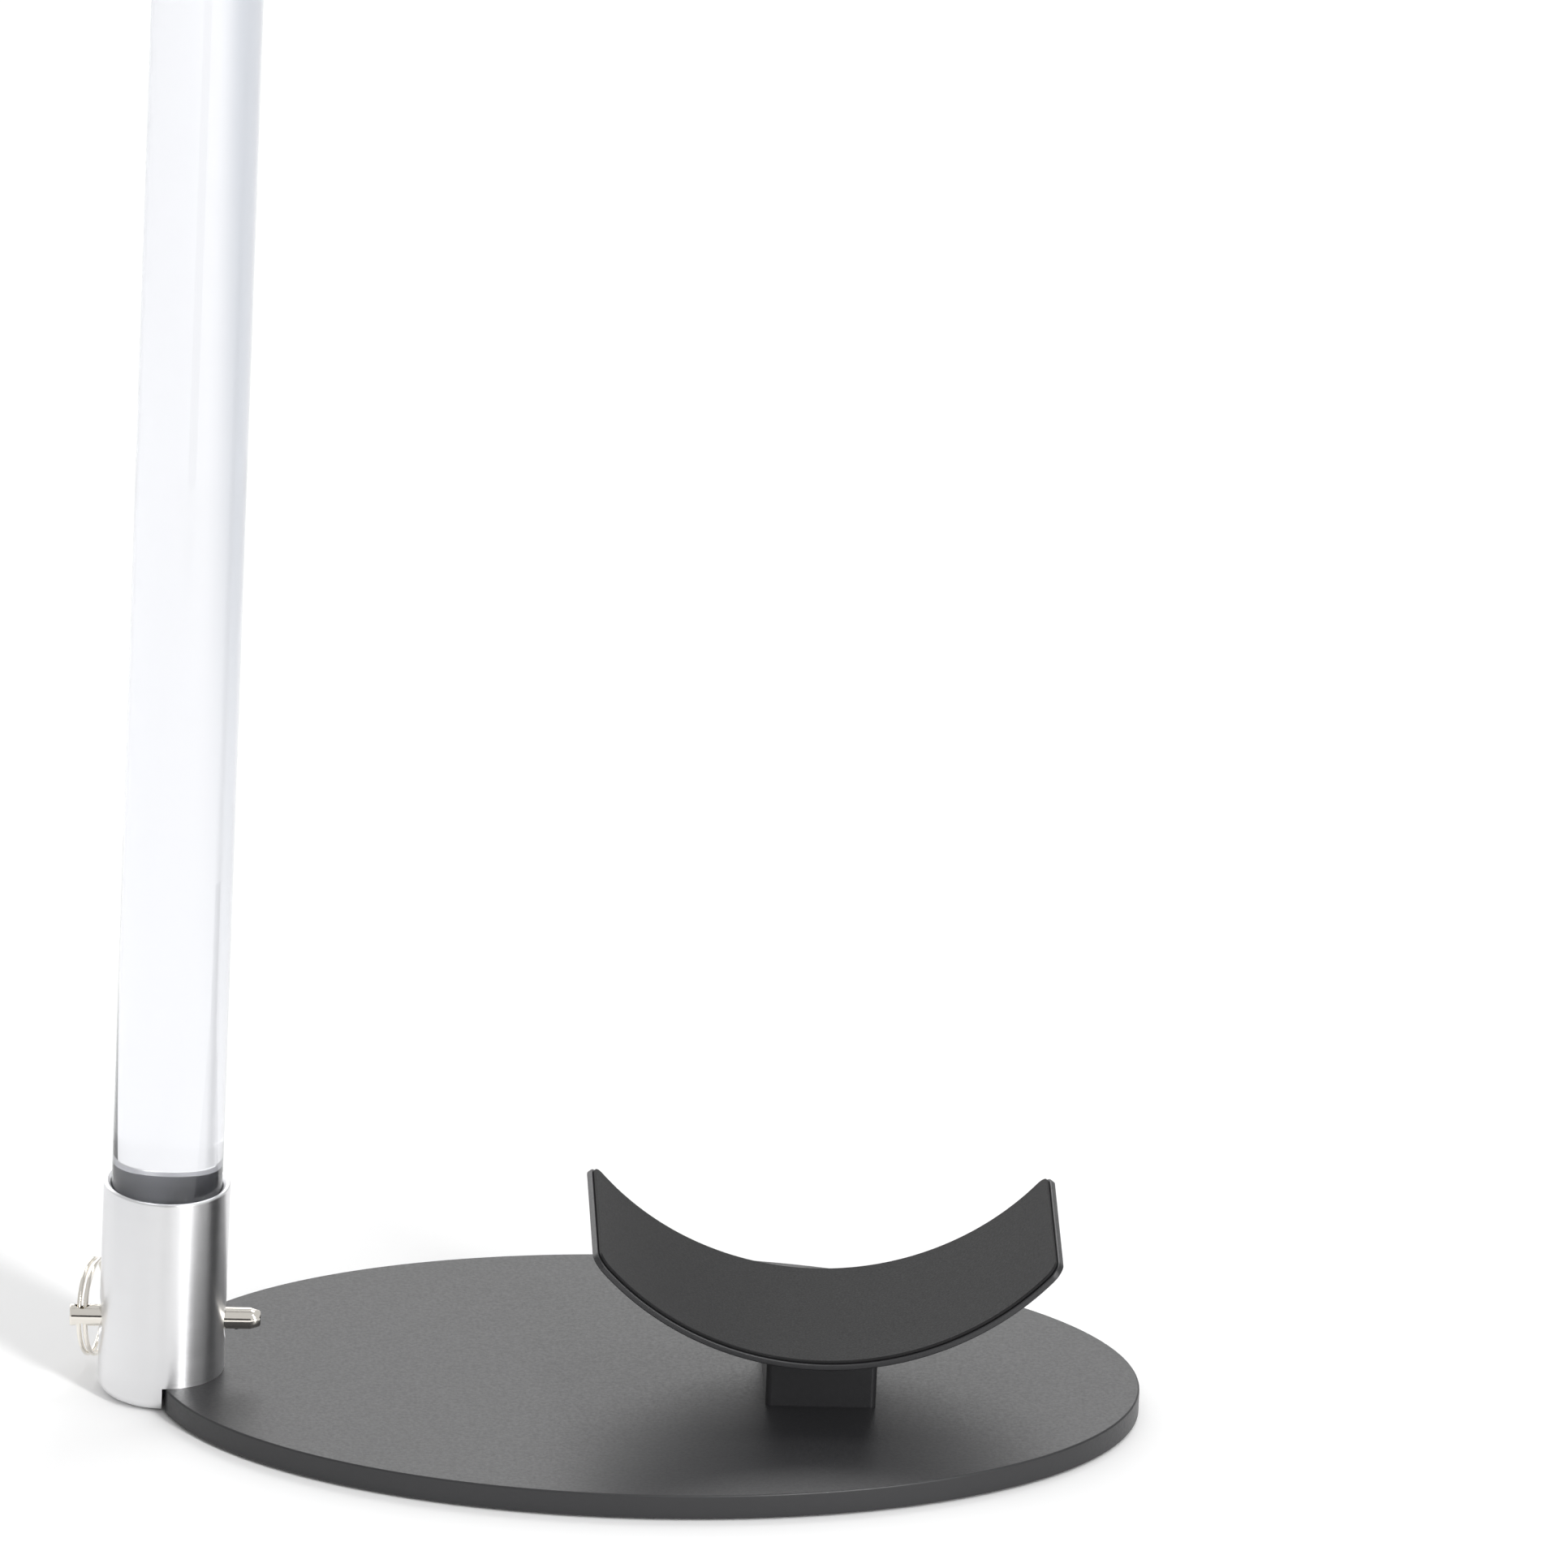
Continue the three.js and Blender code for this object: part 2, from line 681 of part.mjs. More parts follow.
function yokeFrame() {
  const path = new THREE.Path();
  const tip = -yokeSetback - prongLength;
  path.moveTo(-yokeRadius, tip);
  path.lineTo(-yokeRadius, -yokeSetback);
  path.absarc(0, -yokeSetback, yokeRadius, Math.PI, 0, true);
  path.lineTo(yokeRadius, tip);
  const rod = sweep(new FlatPath(path), yokeRod / 2, yokeSteps, tubeSides).translate(0, 0, yokeRodLevel);
  const boss = bar(yokeBossDiameter / 2, yokeFoot, yokeTop, 24, 0.8, 0.8);
  const hole = bar(pivotRadius + runningClearance, yokeFoot - 1, yokeTop + 1, pinSides);
  return cut(join(rod, boss), hole);
}

// A rubber tube over one prong and the bend behind it.
function yokeSleeve(side) {
  const path = new THREE.Path();
  const start = side < 0 ? Math.PI : 0;
  path.moveTo(side * yokeRadius, -yokeSetback - prongLength + capDepth + capGap);
  path.lineTo(side * yokeRadius, -yokeSetback);
  path.absarc(0, -yokeSetback, yokeRadius, start, start + side * sleeveAngle, side < 0);
  return sweep(new FlatPath(path), sleeveRadius, 15, tubeSides, sleeveBore)
    .translate(0, 0, yokeRodLevel);
}

// A rubber cup over the end of one prong.
function yokeCap(side) {
  const tip = yokeSetback + prongLength;
  const cup = turned([
    [0, tip + sleeveClearance],
    [sleeveBore, tip + sleeveClearance],
    [sleeveBore, tip - capDepth],
    [sleeveRadius, tip - capDepth],
    [sleeveRadius, tip],
    [sleeveRadius * 0.9, tip + capDome * 0.5],
    [sleeveRadius * 0.55, tip + capDome * 0.88],
    [0, tip + capDome],
  ], 16);
  return cup.rotateX(Math.PI / 2).translate(side * yokeRadius, 0, yokeRodLevel);
}

// --- Assembly ---

const stand = new THREE.Group();

addPiece(stand, 'base_plate', basePlate(), blackPaint());
addPiece(stand, 'base_pad', basePad(), blackRubber());

const post = new THREE.Group();
post.position.set(postX, 0, plateTop);
stand.add(post);
addPiece(post, 'post_socket', postSocket(), satinAluminium());
addPiece(post, 'post_bumper',
  bar(boreRadius - bumperInset, socketFloor, rodFoot, rodSides), blackRubber());
addPiece(post, 'post_rod', postRod(), clearAcrylic());

// Screws from below, through the plate.
const screwFoot = padThickness + screwSunk;
function addBaseScrew(name, { size, x, y }) {
  const screw = addPiece(stand, name, countersunkScrew(size, plateThickness), zincSteel());
  screw.position.set(x, y, screwFoot);
}
addBaseScrew('socket_screw_front', socketScrews[0]);
addBaseScrew('socket_screw_rear', socketScrews[1]);
addBaseScrew('block_screw_left', blockScrews[0]);
addBaseScrew('block_screw_right', blockScrews[1]);

const pin = new THREE.Group();
pin.position.set(0, 0, pinHeight);
pin.rotation.x = -pinTurn;
post.add(pin);
addPiece(pin, 'release_pin', releasePin(), nickelSteel());
addPiece(pin, 'detent_spring', detentSpring(), springSteel());
const ball = addPiece(pin, 'detent_ball', new THREE.SphereGeometry(ballRadius, 14, 8), springSteel());
ball.position.set(ballX, 0, ballHeight);
const ring = addPiece(pin, 'split_ring', splitRing(), nickelSteel());
ring.position.set(eyeX, 0, 0);
ring.rotation.z = ringSwing;

const cradle = new THREE.Group();
cradle.position.set(cradleX, 0, plateTop);
stand.add(cradle);
addPiece(cradle, 'cradle_block', cradleBlock(), blackPaint());
addPiece(cradle, 'cradle_strip', cradleStrip(), blackPaint());
addPiece(cradle, 'cradle_liner', cradleLiner(), blackRubber());
for (const [side, name] of [[-1, 'front'], [1, 'rear']]) {
  const geometry = countersunkScrew(stripScrew, stripThickness);
  const screw = addPiece(cradle, `strip_screw_${name}`, geometry, zincSteel());
  screw.rotation.x = Math.PI;
  screw.position.set(0, side * stripScrewSpacing / 2, cradleCentre - stripInnerRadius - screwSunk);
}

const rest = new THREE.Group();
rest.position.set(postX, 0, restHeight);
stand.add(rest);
addPiece(rest, 'height_collar', heightCollar(), blackAnodised());
addPiece(rest, 'collar_bush', collarBush(), whiteNylon());
addPiece(rest, 'pressure_pad', pressurePad(), whiteNylon());
addPiece(rest, 'clamp_stud', clampStud(), zincSteel());
addPiece(rest, 'clamp_knob', clampKnob(), blackNylon());

const arm = new THREE.Group();
arm.position.set(0, 0, armFoot);
arm.rotation.z = armAngle;
rest.add(arm);
addPiece(arm, 'swivel_arm', swivelArm(), blackPaint());

const pivot = new THREE.Group();
pivot.position.set(armLength, 0, 0);
pivot.rotation.z = -armAngle;
arm.add(pivot);
addPiece(pivot, 'pivot_screw', pivotScrew(), zincSteel());
addPiece(pivot, 'pivot_washer_top', pivotWasher(armThickness), zincSteel());
addPiece(pivot, 'pivot_spacer', pivotWasher(-pivotWasherThickness), whiteNylon());
addPiece(pivot, 'pivot_washer_bottom', pivotWasher(lowerWasherFoot), zincSteel());
addPiece(pivot, 'pivot_nut', pivotNut(), zincSteel());
addPiece(pivot, 'yoke_frame', yokeFrame(), blackPaint());
for (const [side, name] of [[-1, 'left'], [1, 'right']]) {
  addPiece(pivot, `yoke_sleeve_${name}`, yokeSleeve(side), blackRubber());
  addPiece(pivot, `yoke_cap_${name}`, yokeCap(side), blackRubber());
}

export default stand;
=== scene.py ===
import json
import math
import bpy
from mathutils import Matrix, Vector

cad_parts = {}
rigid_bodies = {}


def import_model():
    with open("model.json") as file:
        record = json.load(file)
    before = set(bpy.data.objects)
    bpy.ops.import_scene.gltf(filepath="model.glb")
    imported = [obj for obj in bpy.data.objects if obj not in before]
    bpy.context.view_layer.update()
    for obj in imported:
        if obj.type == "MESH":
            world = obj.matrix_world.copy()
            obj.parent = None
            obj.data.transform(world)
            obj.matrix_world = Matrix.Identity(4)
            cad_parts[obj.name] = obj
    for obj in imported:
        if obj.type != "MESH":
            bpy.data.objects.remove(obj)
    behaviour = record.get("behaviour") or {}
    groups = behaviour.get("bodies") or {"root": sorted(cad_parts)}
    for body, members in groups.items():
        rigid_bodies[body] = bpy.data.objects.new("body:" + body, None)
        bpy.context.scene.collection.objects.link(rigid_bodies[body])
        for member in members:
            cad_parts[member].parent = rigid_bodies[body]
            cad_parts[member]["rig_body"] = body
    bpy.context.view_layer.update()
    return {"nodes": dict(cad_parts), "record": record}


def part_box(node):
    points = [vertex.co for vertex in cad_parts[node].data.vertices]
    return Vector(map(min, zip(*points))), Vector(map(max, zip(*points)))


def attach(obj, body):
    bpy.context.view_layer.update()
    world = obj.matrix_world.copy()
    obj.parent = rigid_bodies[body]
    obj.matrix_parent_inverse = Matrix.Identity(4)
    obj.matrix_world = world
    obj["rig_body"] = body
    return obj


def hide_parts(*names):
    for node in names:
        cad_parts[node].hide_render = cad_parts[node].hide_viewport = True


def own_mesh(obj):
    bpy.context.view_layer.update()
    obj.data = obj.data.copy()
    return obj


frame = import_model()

mm = 0.001
past = 1 * mm  # how far a cutter runs past a face
fewSides, someSides, manySides = 48, 64, 128
nodeBody = {name: node["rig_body"] for name, node in frame["nodes"].items()}
nodeSlot = {row["node"]: row["material_slot"] for row in frame["record"]["subparts"]}
scene = bpy.context.scene


def middle(node):
    low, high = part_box(node)
    return (low + high) / 2


def width(node):
    low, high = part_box(node)
    return high.x - low.x


def useOnly(piece):
    bpy.ops.object.select_all(action="DESELECT")
    piece.select_set(True)
    bpy.context.view_layer.objects.active = piece


def startEdit(piece, kind="VERT"):
    useOnly(piece)
    bpy.ops.object.mode_set(mode="EDIT")
    bpy.ops.mesh.select_mode(type=kind)


def endEdit():
    bpy.ops.object.mode_set(mode="OBJECT")


def named(name):
    piece = bpy.context.view_layer.objects.active
    piece.name = name
    return piece


def applyPlace(piece):
    useOnly(piece)
    bpy.ops.object.transform_apply(location=True, rotation=True, scale=True)
    return piece


def moveTo(piece, place):
    piece.location = place
    return applyPlace(piece)


def placeBy(piece, matrix):
    piece.matrix_world = matrix
    return applyPlace(piece)


def turnAbout(axis, degrees):
    return Matrix.Rotation(math.radians(degrees), 4, axis)


def useModifier(piece, kind, **settings):
    useOnly(piece)
    bpy.ops.object.modifier_add(type=kind)
    modifier = piece.modifiers[-1]
    for setting, value in settings.items():
        setattr(modifier, setting, value)
    bpy.ops.object.modifier_apply(modifier=modifier.name)
    return piece


def cutAway(piece, *cutters):
    for cutter in cutters:
        useModifier(piece, "BOOLEAN", operation="DIFFERENCE", solver="EXACT", object=cutter)
        bpy.data.objects.remove(cutter, do_unlink=True)
    return piece


def weldOn(piece, *others):
    for other in others:
        useModifier(piece, "BOOLEAN", operation="UNION", solver="EXACT", object=other)
        bpy.data.objects.remove(other, do_unlink=True)
    return piece


def roundEdges(piece, width, segments=3, angle=32):
    return useModifier(piece, "BEVEL", width=width, segments=segments, limit_method="ANGLE",
                       angle_limit=math.radians(angle), use_clamp_overlap=True)


def tidyNormals(piece):
    startEdit(piece)
    bpy.ops.mesh.select_all(action="SELECT")
    bpy.ops.mesh.remove_doubles(threshold=1e-6)
    bpy.ops.mesh.normals_make_consistent(inside=False)
    endEdit()
    return piece


# A piece stands for one CAD node: it rides with its body and takes its slot's finish.
def handOver(piece, node, smoothAngle=38):
    useOnly(piece)
    bpy.ops.object.shade_smooth_by_angle(angle=math.radians(smoothAngle))
    useModifier(piece, "WEIGHTED_NORMAL", keep_sharp=True, weight=60)
    piece.data.materials.clear()
    piece.data.materials.append(finishes[nodeSlot[node]])
    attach(piece, nodeBody[node])
    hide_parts(node)
    return piece


def copyOf(piece, name):
    twin = piece.copy()
    twin.data = piece.data.copy()
    twin.name = name
    scene.collection.objects.link(twin)
    return twin


# An outline of (radius, height) points, drawn by extruding one vertex, then spun about Z.
def turnedPiece(name, outline, sides=96):
    bpy.ops.object.select_all(action="DESELECT")
    bpy.ops.mesh.primitive_plane_add(size=mm)
    piece = named(name)
    startEdit(piece)
    bpy.ops.mesh.select_all(action="SELECT")
    bpy.ops.mesh.merge(type="CENTER")
    bpy.ops.transform.translate(value=(outline[0][0], 0, outline[0][1]))
    for (r0, z0), (r1, z1) in zip(outline, outline[1:]):
        bpy.ops.mesh.extrude_region_move(TRANSFORM_OT_translate={"value": (r1 - r0, 0, z1 - z0)})
    bpy.ops.mesh.select_all(action="SELECT")
    bpy.ops.mesh.remove_doubles(threshold=1e-7)
    bpy.ops.mesh.spin(steps=sides, angle=math.tau, center=(0, 0, 0), axis=(0, 0, 1))
    endEdit()
    return tidyNormals(piece)


def arcOutline(r, z, radius, fromDegrees, toDegrees, steps):
    turns = [math.radians(fromDegrees + (toDegrees - fromDegrees) * i / steps) for i in range(steps + 1)]
    return [(r + radius * math.cos(a), z + radius * math.sin(a)) for a in turns]


def barOutline(radius, low, high):
    return [(0, low), (radius, low), (radius, high), (0, high)]


# The ridges of a thread, from z to the first whole turn past end.
def threadOutline(radius, depth, pitch, z, end):
    outline = []
    while z < end:
        outline += [(radius - depth, z + pitch / 2), (radius, z + pitch)]
        z += pitch
    return outline


# The piece's own Z axis turned to a direction, its origin moved to a place.
def turnTo(piece, direction, place):
    turn = Vector((0, 0, 1)).rotation_difference(Vector(direction)).to_matrix().to_4x4()
    return placeBy(piece, Matrix.Translation(place) @ turn)


def drillBit(radius, direction, place, length, sides=fewSides):
    return turnTo(turnedPiece("drillBit", barOutline(radius, 0, length), sides), direction, place)


def hexBar(flats, low, high):
    return turnedPiece("hexBar", barOutline(flats / math.sqrt(3), low, high), 6)


def boxAt(name, low, high):
    bpy.ops.object.select_all(action="DESELECT")
    low, high = Vector(low), Vector(high)
    bpy.ops.mesh.primitive_cube_add(size=1, location=(low + high) / 2)
    piece = named(name)
    piece.scale = high - low
    return applyPlace(piece)


def colour(hexCode):
    parts = [int(hexCode[i:i + 2], 16) / 255 for i in (1, 3, 5)]
    linear = [c / 12.92 if c <= 0.04045 else ((c + 0.055) / 1.055) ** 2.4 for c in parts]
    return (*linear, 1)


def addNode(tree, kind, settings=None, inputs=None):
    node = tree.nodes.new(kind)
    for setting, value in (settings or {}).items():
        setattr(node, setting, value)
    for socket, value in (inputs or {}).items():
        if isinstance(value, bpy.types.NodeSocket):
            tree.links.new(value, node.inputs[socket])
        else:
            node.inputs[socket].default_value = value
    return node


# A surface whose colour, gloss and height follow noise stretched by 'grain', in mm along X, Y, Z.
def surface(name, look):
    material = bpy.data.materials.new(name)
    material.use_nodes = True
    tree = material.node_tree
    tree.nodes.clear()
    place = addNode(tree, "ShaderNodeTexCoord")
    scale = [1 / (size * mm) for size in look["grain"]]
    spread = addNode(tree, "ShaderNodeMapping", {}, {"Vector": place.outputs["Object"], "Scale": scale})
    fine = addNode(tree, "ShaderNodeTexNoise", {}, {
        "Vector": spread.outputs["Vector"], "Scale": 1.0, "Detail": look.get("detail", 3.0),
        "Roughness": 0.6})
    broad = addNode(tree, "ShaderNodeTexNoise", {}, {
        "Vector": place.outputs["Object"], "Scale": 1 / (look.get("patch", 30) * mm), "Detail": 2.0})
    tint = addNode(tree, "ShaderNodeMix", {"data_type": "RGBA"}, {
        "Factor": broad.outputs["Fac"], "A": colour(look["colours"][0]), "B": colour(look["colours"][1])})
    gloss = addNode(tree, "ShaderNodeMapRange", {}, {
        "Value": fine.outputs["Fac"], "From Min": 0.3, "From Max": 0.7,
        "To Min": look["roughness"][0], "To Max": look["roughness"][1]})
    relief = addNode(tree, "ShaderNodeBump", {}, {
        "Height": fine.outputs["Fac"], "Strength": look["bump"], "Distance": look["depth"] * mm})
    shader = addNode(tree, "ShaderNodeBsdfPrincipled", {}, {
        "Base Color": tint.outputs[2], "Roughness": gloss.outputs["Result"],
        "Normal": relief.outputs["Normal"], **look.get("shader", {})})
    if look.get("spun"):  # the grooves run round Z, so a highlight spreads along it
        grooves = addNode(tree, "ShaderNodeTangent", {"direction_type": "RADIAL", "axis": "Z"})
        tree.links.new(grooves.outputs["Tangent"], shader.inputs["Tangent"])
    addNode(tree, "ShaderNodeOutputMaterial", {}, {"Surface": shader.outputs["BSDF"]})
    return material


finishes = {
    # Baked powder: near-black, a soft satin sheen and a faint orange peel.
    "black_powder_coat": surface("powderCoatedSteel", {
        "colours": ("#1d1d1f", "#232325"), "grain": (0.9, 0.9, 0.9), "roughness": (0.36, 0.46),
        "bump": 0.35, "depth": 0.05, "patch": 45,
        "shader": {"Specular IOR Level": 0.6}}),
    # Moulded rubber: no shine, a greyish bloom, a fine tooth.
    "black_rubber": surface("mouldedRubber", {
        "colours": ("#131314", "#1a1a1b"), "grain": (0.5, 0.5, 0.5), "roughness": (0.62, 0.78),
        "bump": 0.5, "depth": 0.06, "patch": 18,
        "shader": {"Specular IOR Level": 0.3, "Sheen Weight": 0.04, "Sheen Roughness": 0.5}}),
    # Turned on a lathe: pale, satin, with fine rings round its axis.
    "satin_aluminium": surface("turnedAluminium", {
        "colours": ("#eeeeef", "#e8e8e9"), "grain": (40, 40, 0.35), "roughness": (0.3, 0.38),
        "bump": 0.12, "depth": 0.02, "patch": 60, "spun": True,
        "shader": {"Metallic": 1.0, "Anisotropic": 0.85, "Anisotropic Rotation": 0.25}}),
    # Extruded and flame-polished: clear, with long draw lines that only just show.
    "clear_acrylic": surface("extrudedAcrylic", {
        "colours": ("#f6f7fa", "#f4f5f9"), "grain": (2.5, 2.5, 400), "roughness": (0.0, 0.03),
        "bump": 0.05, "depth": 0.05, "patch": 80, "detail": 1.0,
        "shader": {"Transmission Weight": 1.0, "IOR": 1.49}}),
    # The rod's ends as sawn and sanded: the same acrylic, frosted white.
    "sawnAcrylic": surface("sandedAcrylic", {
        "colours": ("#eef2f4", "#e6ebee"), "grain": (0.5, 0.5, 0.5), "roughness": (0.4, 0.55),
        "bump": 0.3, "depth": 0.03, "patch": 6,
        "shader": {"Transmission Weight": 0.45, "IOR": 1.49}}),
    # Nickel plate over steel: warm, near-mirror, with hairline handling marks.
    "nickel_steel": surface("nickelPlatedSteel", {
        "colours": ("#f2eee6", "#ece7de"), "grain": (4, 0.3, 0.3), "roughness": (0.06, 0.13),
        "bump": 0.12, "depth": 0.01, "patch": 12, "shader": {"Metallic": 1.0}}),
    # Zinc plate: cool, slightly cloudy.
    "zinc_steel": surface("zincPlatedSteel", {
        "colours": ("#b9bcc0", "#a7abb0"), "grain": (0.6, 0.6, 0.6), "roughness": (0.24, 0.38),
        "bump": 0.2, "depth": 0.02, "patch": 5, "shader": {"Metallic": 1.0}}),
    # Ground and drawn spring steel: grey and bright.
    "spring_steel": surface("drawnSpringSteel", {
        "colours": ("#9c9da0", "#8f9093"), "grain": (0.3, 0.3, 0.3), "roughness": (0.14, 0.24),
        "bump": 0.1, "depth": 0.01, "patch": 3, "shader": {"Metallic": 1.0}}),
    # Anodised after turning: dark, silky, with the turning still showing.
    "black_anodised": surface("blackAnodisedAluminium", {
        "colours": ("#26272a", "#1f2023"), "grain": (20, 20, 0.4), "roughness": (0.3, 0.42),
        "bump": 0.25, "depth": 0.02, "patch": 25, "shader": {"Metallic": 1.0}}),
    # Pressed phenolic: hard, deep black, glossy with a slight flow mottle.
    "black_phenolic": surface("mouldedPhenolic", {
        "colours": ("#141414", "#1c1b1b"), "grain": (1.2, 1.2, 1.2), "roughness": (0.2, 0.32),
        "bump": 0.2, "depth": 0.03, "patch": 9, "shader": {"Coat Weight": 0.2}}),
    # Turned nylon: milky, waxy, with tool rings.
    "white_nylon": surface("turnedNylon", {
        "colours": ("#ebe8e0", "#e2dfd6"), "grain": (15, 15, 0.5), "roughness": (0.42, 0.55),
        "bump": 0.2, "depth": 0.02, "patch": 10,
        "shader": {"Subsurface Weight": 0.08, "Subsurface Scale": 0.002}}),
}
for node, piece in frame["nodes"].items():
    piece.data.materials.clear()
    piece.data.materials.append(finishes[nodeSlot[node]])
print("stage: finishes")


socketScrews = ("socket_screw_front", "socket_screw_rear")
blockScrews = ("block_screw_left", "block_screw_right")
stripScrews = ("strip_screw_front", "strip_screw_rear")
plate = {"sides": 224, "edge": 0.5 * mm, "padEdge": 0.15 * mm, "edgeSteps": 4, "headClearance": 0.2 * mm,
         "headLand": 0.1 * mm, "headDepth": 2.1 * mm, "shank": 2.2 * mm, "padWindow": 1.3 * mm}


# The oval between a node's lowest and highest planes, with its flat where the node ends.
def ovalSlab(name, node, edge):
    low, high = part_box(node)
    bpy.ops.object.select_all(action="DESELECT")
    bpy.ops.mesh.primitive_circle_add(vertices=plate["sides"], radius=high.x, fill_type="NGON",
                                      location=(0, 0, low.z))
    piece = applyPlace(named(name))
    startEdit(piece)
    bpy.ops.mesh.select_all(action="SELECT")
    bpy.ops.transform.resize(value=(1, high.y / high.x, 1))
    bpy.ops.mesh.bisect(plane_co=(low.x, 0, 0), plane_no=(1, 0, 0), clear_inner=True)
    bpy.ops.mesh.select_all(action="SELECT")
    bpy.ops.mesh.extrude_region_move(TRANSFORM_OT_translate={"value": (0, 0, high.z - low.z)})
    endEdit()
    tidyNormals(piece)
    return roundEdges(piece, edge, plate["edgeSteps"])


def makeBase():
    top = ovalSlab("ovalBasePlate", "base_plate", plate["edge"])
    pad = ovalSlab("basePadSheet", "base_pad", plate["padEdge"])
    low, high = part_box("base_plate")
    for node in socketScrews + blockScrews:
        place = middle(node)
        head = width(node) / 2 + plate["headClearance"]
        sink = turnedPiece("countersink", [
            (0, low.z - past), (head, low.z - past), (head, low.z + plate["headLand"]),
            (plate["shank"], low.z + plate["headDepth"]), (plate["shank"], high.z + past),
            (0, high.z + past)], fewSides)
        cutAway(top, moveTo(sink, (place.x, place.y, 0)))
        window = drillBit(head + plate["padWindow"], (0, 0, 1), (place.x, place.y, -past), low.z + 2 * past)
        cutAway(pad, window)
    tidyNormals(pad)
    handOver(top, "base_plate")
    handOver(pad, "base_pad")


makeBase()
print("stage: base")


largeScrew = {"diameter": 4, "head": 8, "headHeight": 2, "key": 2.5, "keyDepth": 1.4, "pitch": 0.7}
smallScrew = {"diameter": 3, "head": 5.6, "headHeight": 1.3, "key": 2, "keyDepth": 0.8, "pitch": 0.5}
screwEnd = {"tip": 0.5 * mm, "threadDepth": 0.3}  # the thread's depth is a share of its pitch


# One pointing up, its head's face at z = 0, with its hexagon key.
def countersunkScrew(name, size, length):
    radius, head, pitch = size["diameter"] / 2 * mm, size["head"] / 2 * mm, size["pitch"] * mm
    foot, tip = size["headHeight"] * mm, screwEnd["tip"]
    outline = [(0, 0), (head, 0), (radius, foot)]
    outline += threadOutline(radius, pitch * screwEnd["threadDepth"], pitch, foot + pitch,
                             length - tip - pitch)
    outline += [(radius, length - tip), (radius - tip, length), (0, length)]
    piece = turnedPiece(name, outline, fewSides)
    return cutAway(piece, hexBar(size["key"] * mm, -past, size["keyDepth"] * mm))


def makeScrews():
    for node in socketScrews + blockScrews:
        low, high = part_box(node)
        piece = countersunkScrew(node.replace("_", "-") + "-fine", largeScrew, high.z - low.z)
        handOver(moveTo(piece, (middle(node).x, middle(node).y, low.z)), node)
    for node in stripScrews:
        low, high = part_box(node)
        piece = countersunkScrew(node.replace("_", "-") + "-fine", smallScrew, high.z - low.z)
        handOver(turnTo(piece, (0, 0, -1), (middle(node).x, middle(node).y, high.z)), node)


makeScrews()
print("stage: screws")


pinHole = {"height": 13 * mm, "radius": 3 * mm, "chamfer": 0.7 * mm}
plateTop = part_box("base_plate")[1].z
postAxis = Vector((middle("post_rod").x, 0, 0))
pinAxis = Vector((postAxis.x, 0, plateTop + pinHole["height"]))

socket = {"sides": 144, "wall": 1.75 * mm, "floor": 4 * mm, "rim": 0.5 * mm, "mouth": 0.8 * mm,
          "foot": 3.2 * mm, "edge": 0.12 * mm, "screwHole": 2.2 * mm, "sinkSpread": 2 * mm,
          "sinkDepth": 3 * mm, "sinkStart": 1.55 * mm}


def makeSocket():
    low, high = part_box("post_socket")
    outer = width("post_socket") / 2
    bore = outer - socket["wall"]
    floor = plateTop + socket["floor"]
    foot, rim, mouth = socket["foot"], socket["rim"], socket["mouth"]
    outline = [(0, low.z)]
    outline += arcOutline(outer - foot, low.z + foot, foot, -90, 0, 10)
    outline += arcOutline(outer - rim, high.z - rim, rim, 0, 90, 4)
    outline += [(bore + mouth, high.z), (bore, high.z - mouth), (bore, floor), (0, floor)]
    piece = turnedPiece("turnedSocket", outline, socket["sides"])
    roundEdges(piece, socket["edge"], 2, 40)
    moveTo(piece, postAxis)
    reach = outer * 2
    step = boxAt("step", (postAxis.x, -reach, low.z - past), (postAxis.x + reach, reach, plateTop))
    drill = drillBit(pinHole["radius"], (1, 0, 0), pinAxis - Vector((reach, 0, 0)), reach * 2)
    cutAway(piece, step, drill)
    lip = pinHole["radius"] + pinHole["chamfer"]
    for side in (-1, 1):
        sink = turnedPiece("sink", [
            (0, 0), (lip + socket["sinkSpread"], 0), (lip + socket["sinkSpread"], past),
            (0, lip + socket["sinkDepth"])], someSides)
        turnTo(sink, (-side, 0, 0), pinAxis + Vector((side * (outer + socket["sinkStart"]), 0, 0)))
        cutAway(piece, sink)
    for node in socketScrews:
        foot = (middle(node).x, middle(node).y, plateTop - past)
        cutAway(piece, drillBit(socket["screwHole"], (0, 0, 1), foot, socket["floor"] + 2 * past))
    handOver(piece, "post_socket")


rod = {"sides": 192, "foot": 1 * mm, "top": 1.5 * mm}


def makeRod():
    low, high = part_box("post_rod")
    radius = width("post_rod") / 2
    outline = [(0, low.z), (radius - rod["foot"], low.z), (radius, low.z + rod["foot"])]
    outline += arcOutline(radius - rod["top"], high.z - rod["top"], rod["top"], 0, 90, 8)
    outline += [(0, high.z)]
    piece = moveTo(turnedPiece("acrylicPost", outline, rod["sides"]), postAxis)
    drill = drillBit(pinHole["radius"], (1, 0, 0), pinAxis - Vector((radius * 2, 0, 0)), radius * 4)
    handOver(cutAway(piece, drill), "post_rod")
    piece.data.materials.append(finishes["sawnAcrylic"])
    for face in piece.data.polygons:
        if abs(face.normal.z) > 0.999:
            face.material_index = 1


bumper = {"edge": 0.2 * mm}


def makeBumper():
    low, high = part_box("post_bumper")
    disc = turnedPiece("bumperDisc", barOutline(width("post_bumper") / 2, low.z, high.z))
    handOver(roundEdges(moveTo(disc, postAxis), bumper["edge"]), "post_bumper")


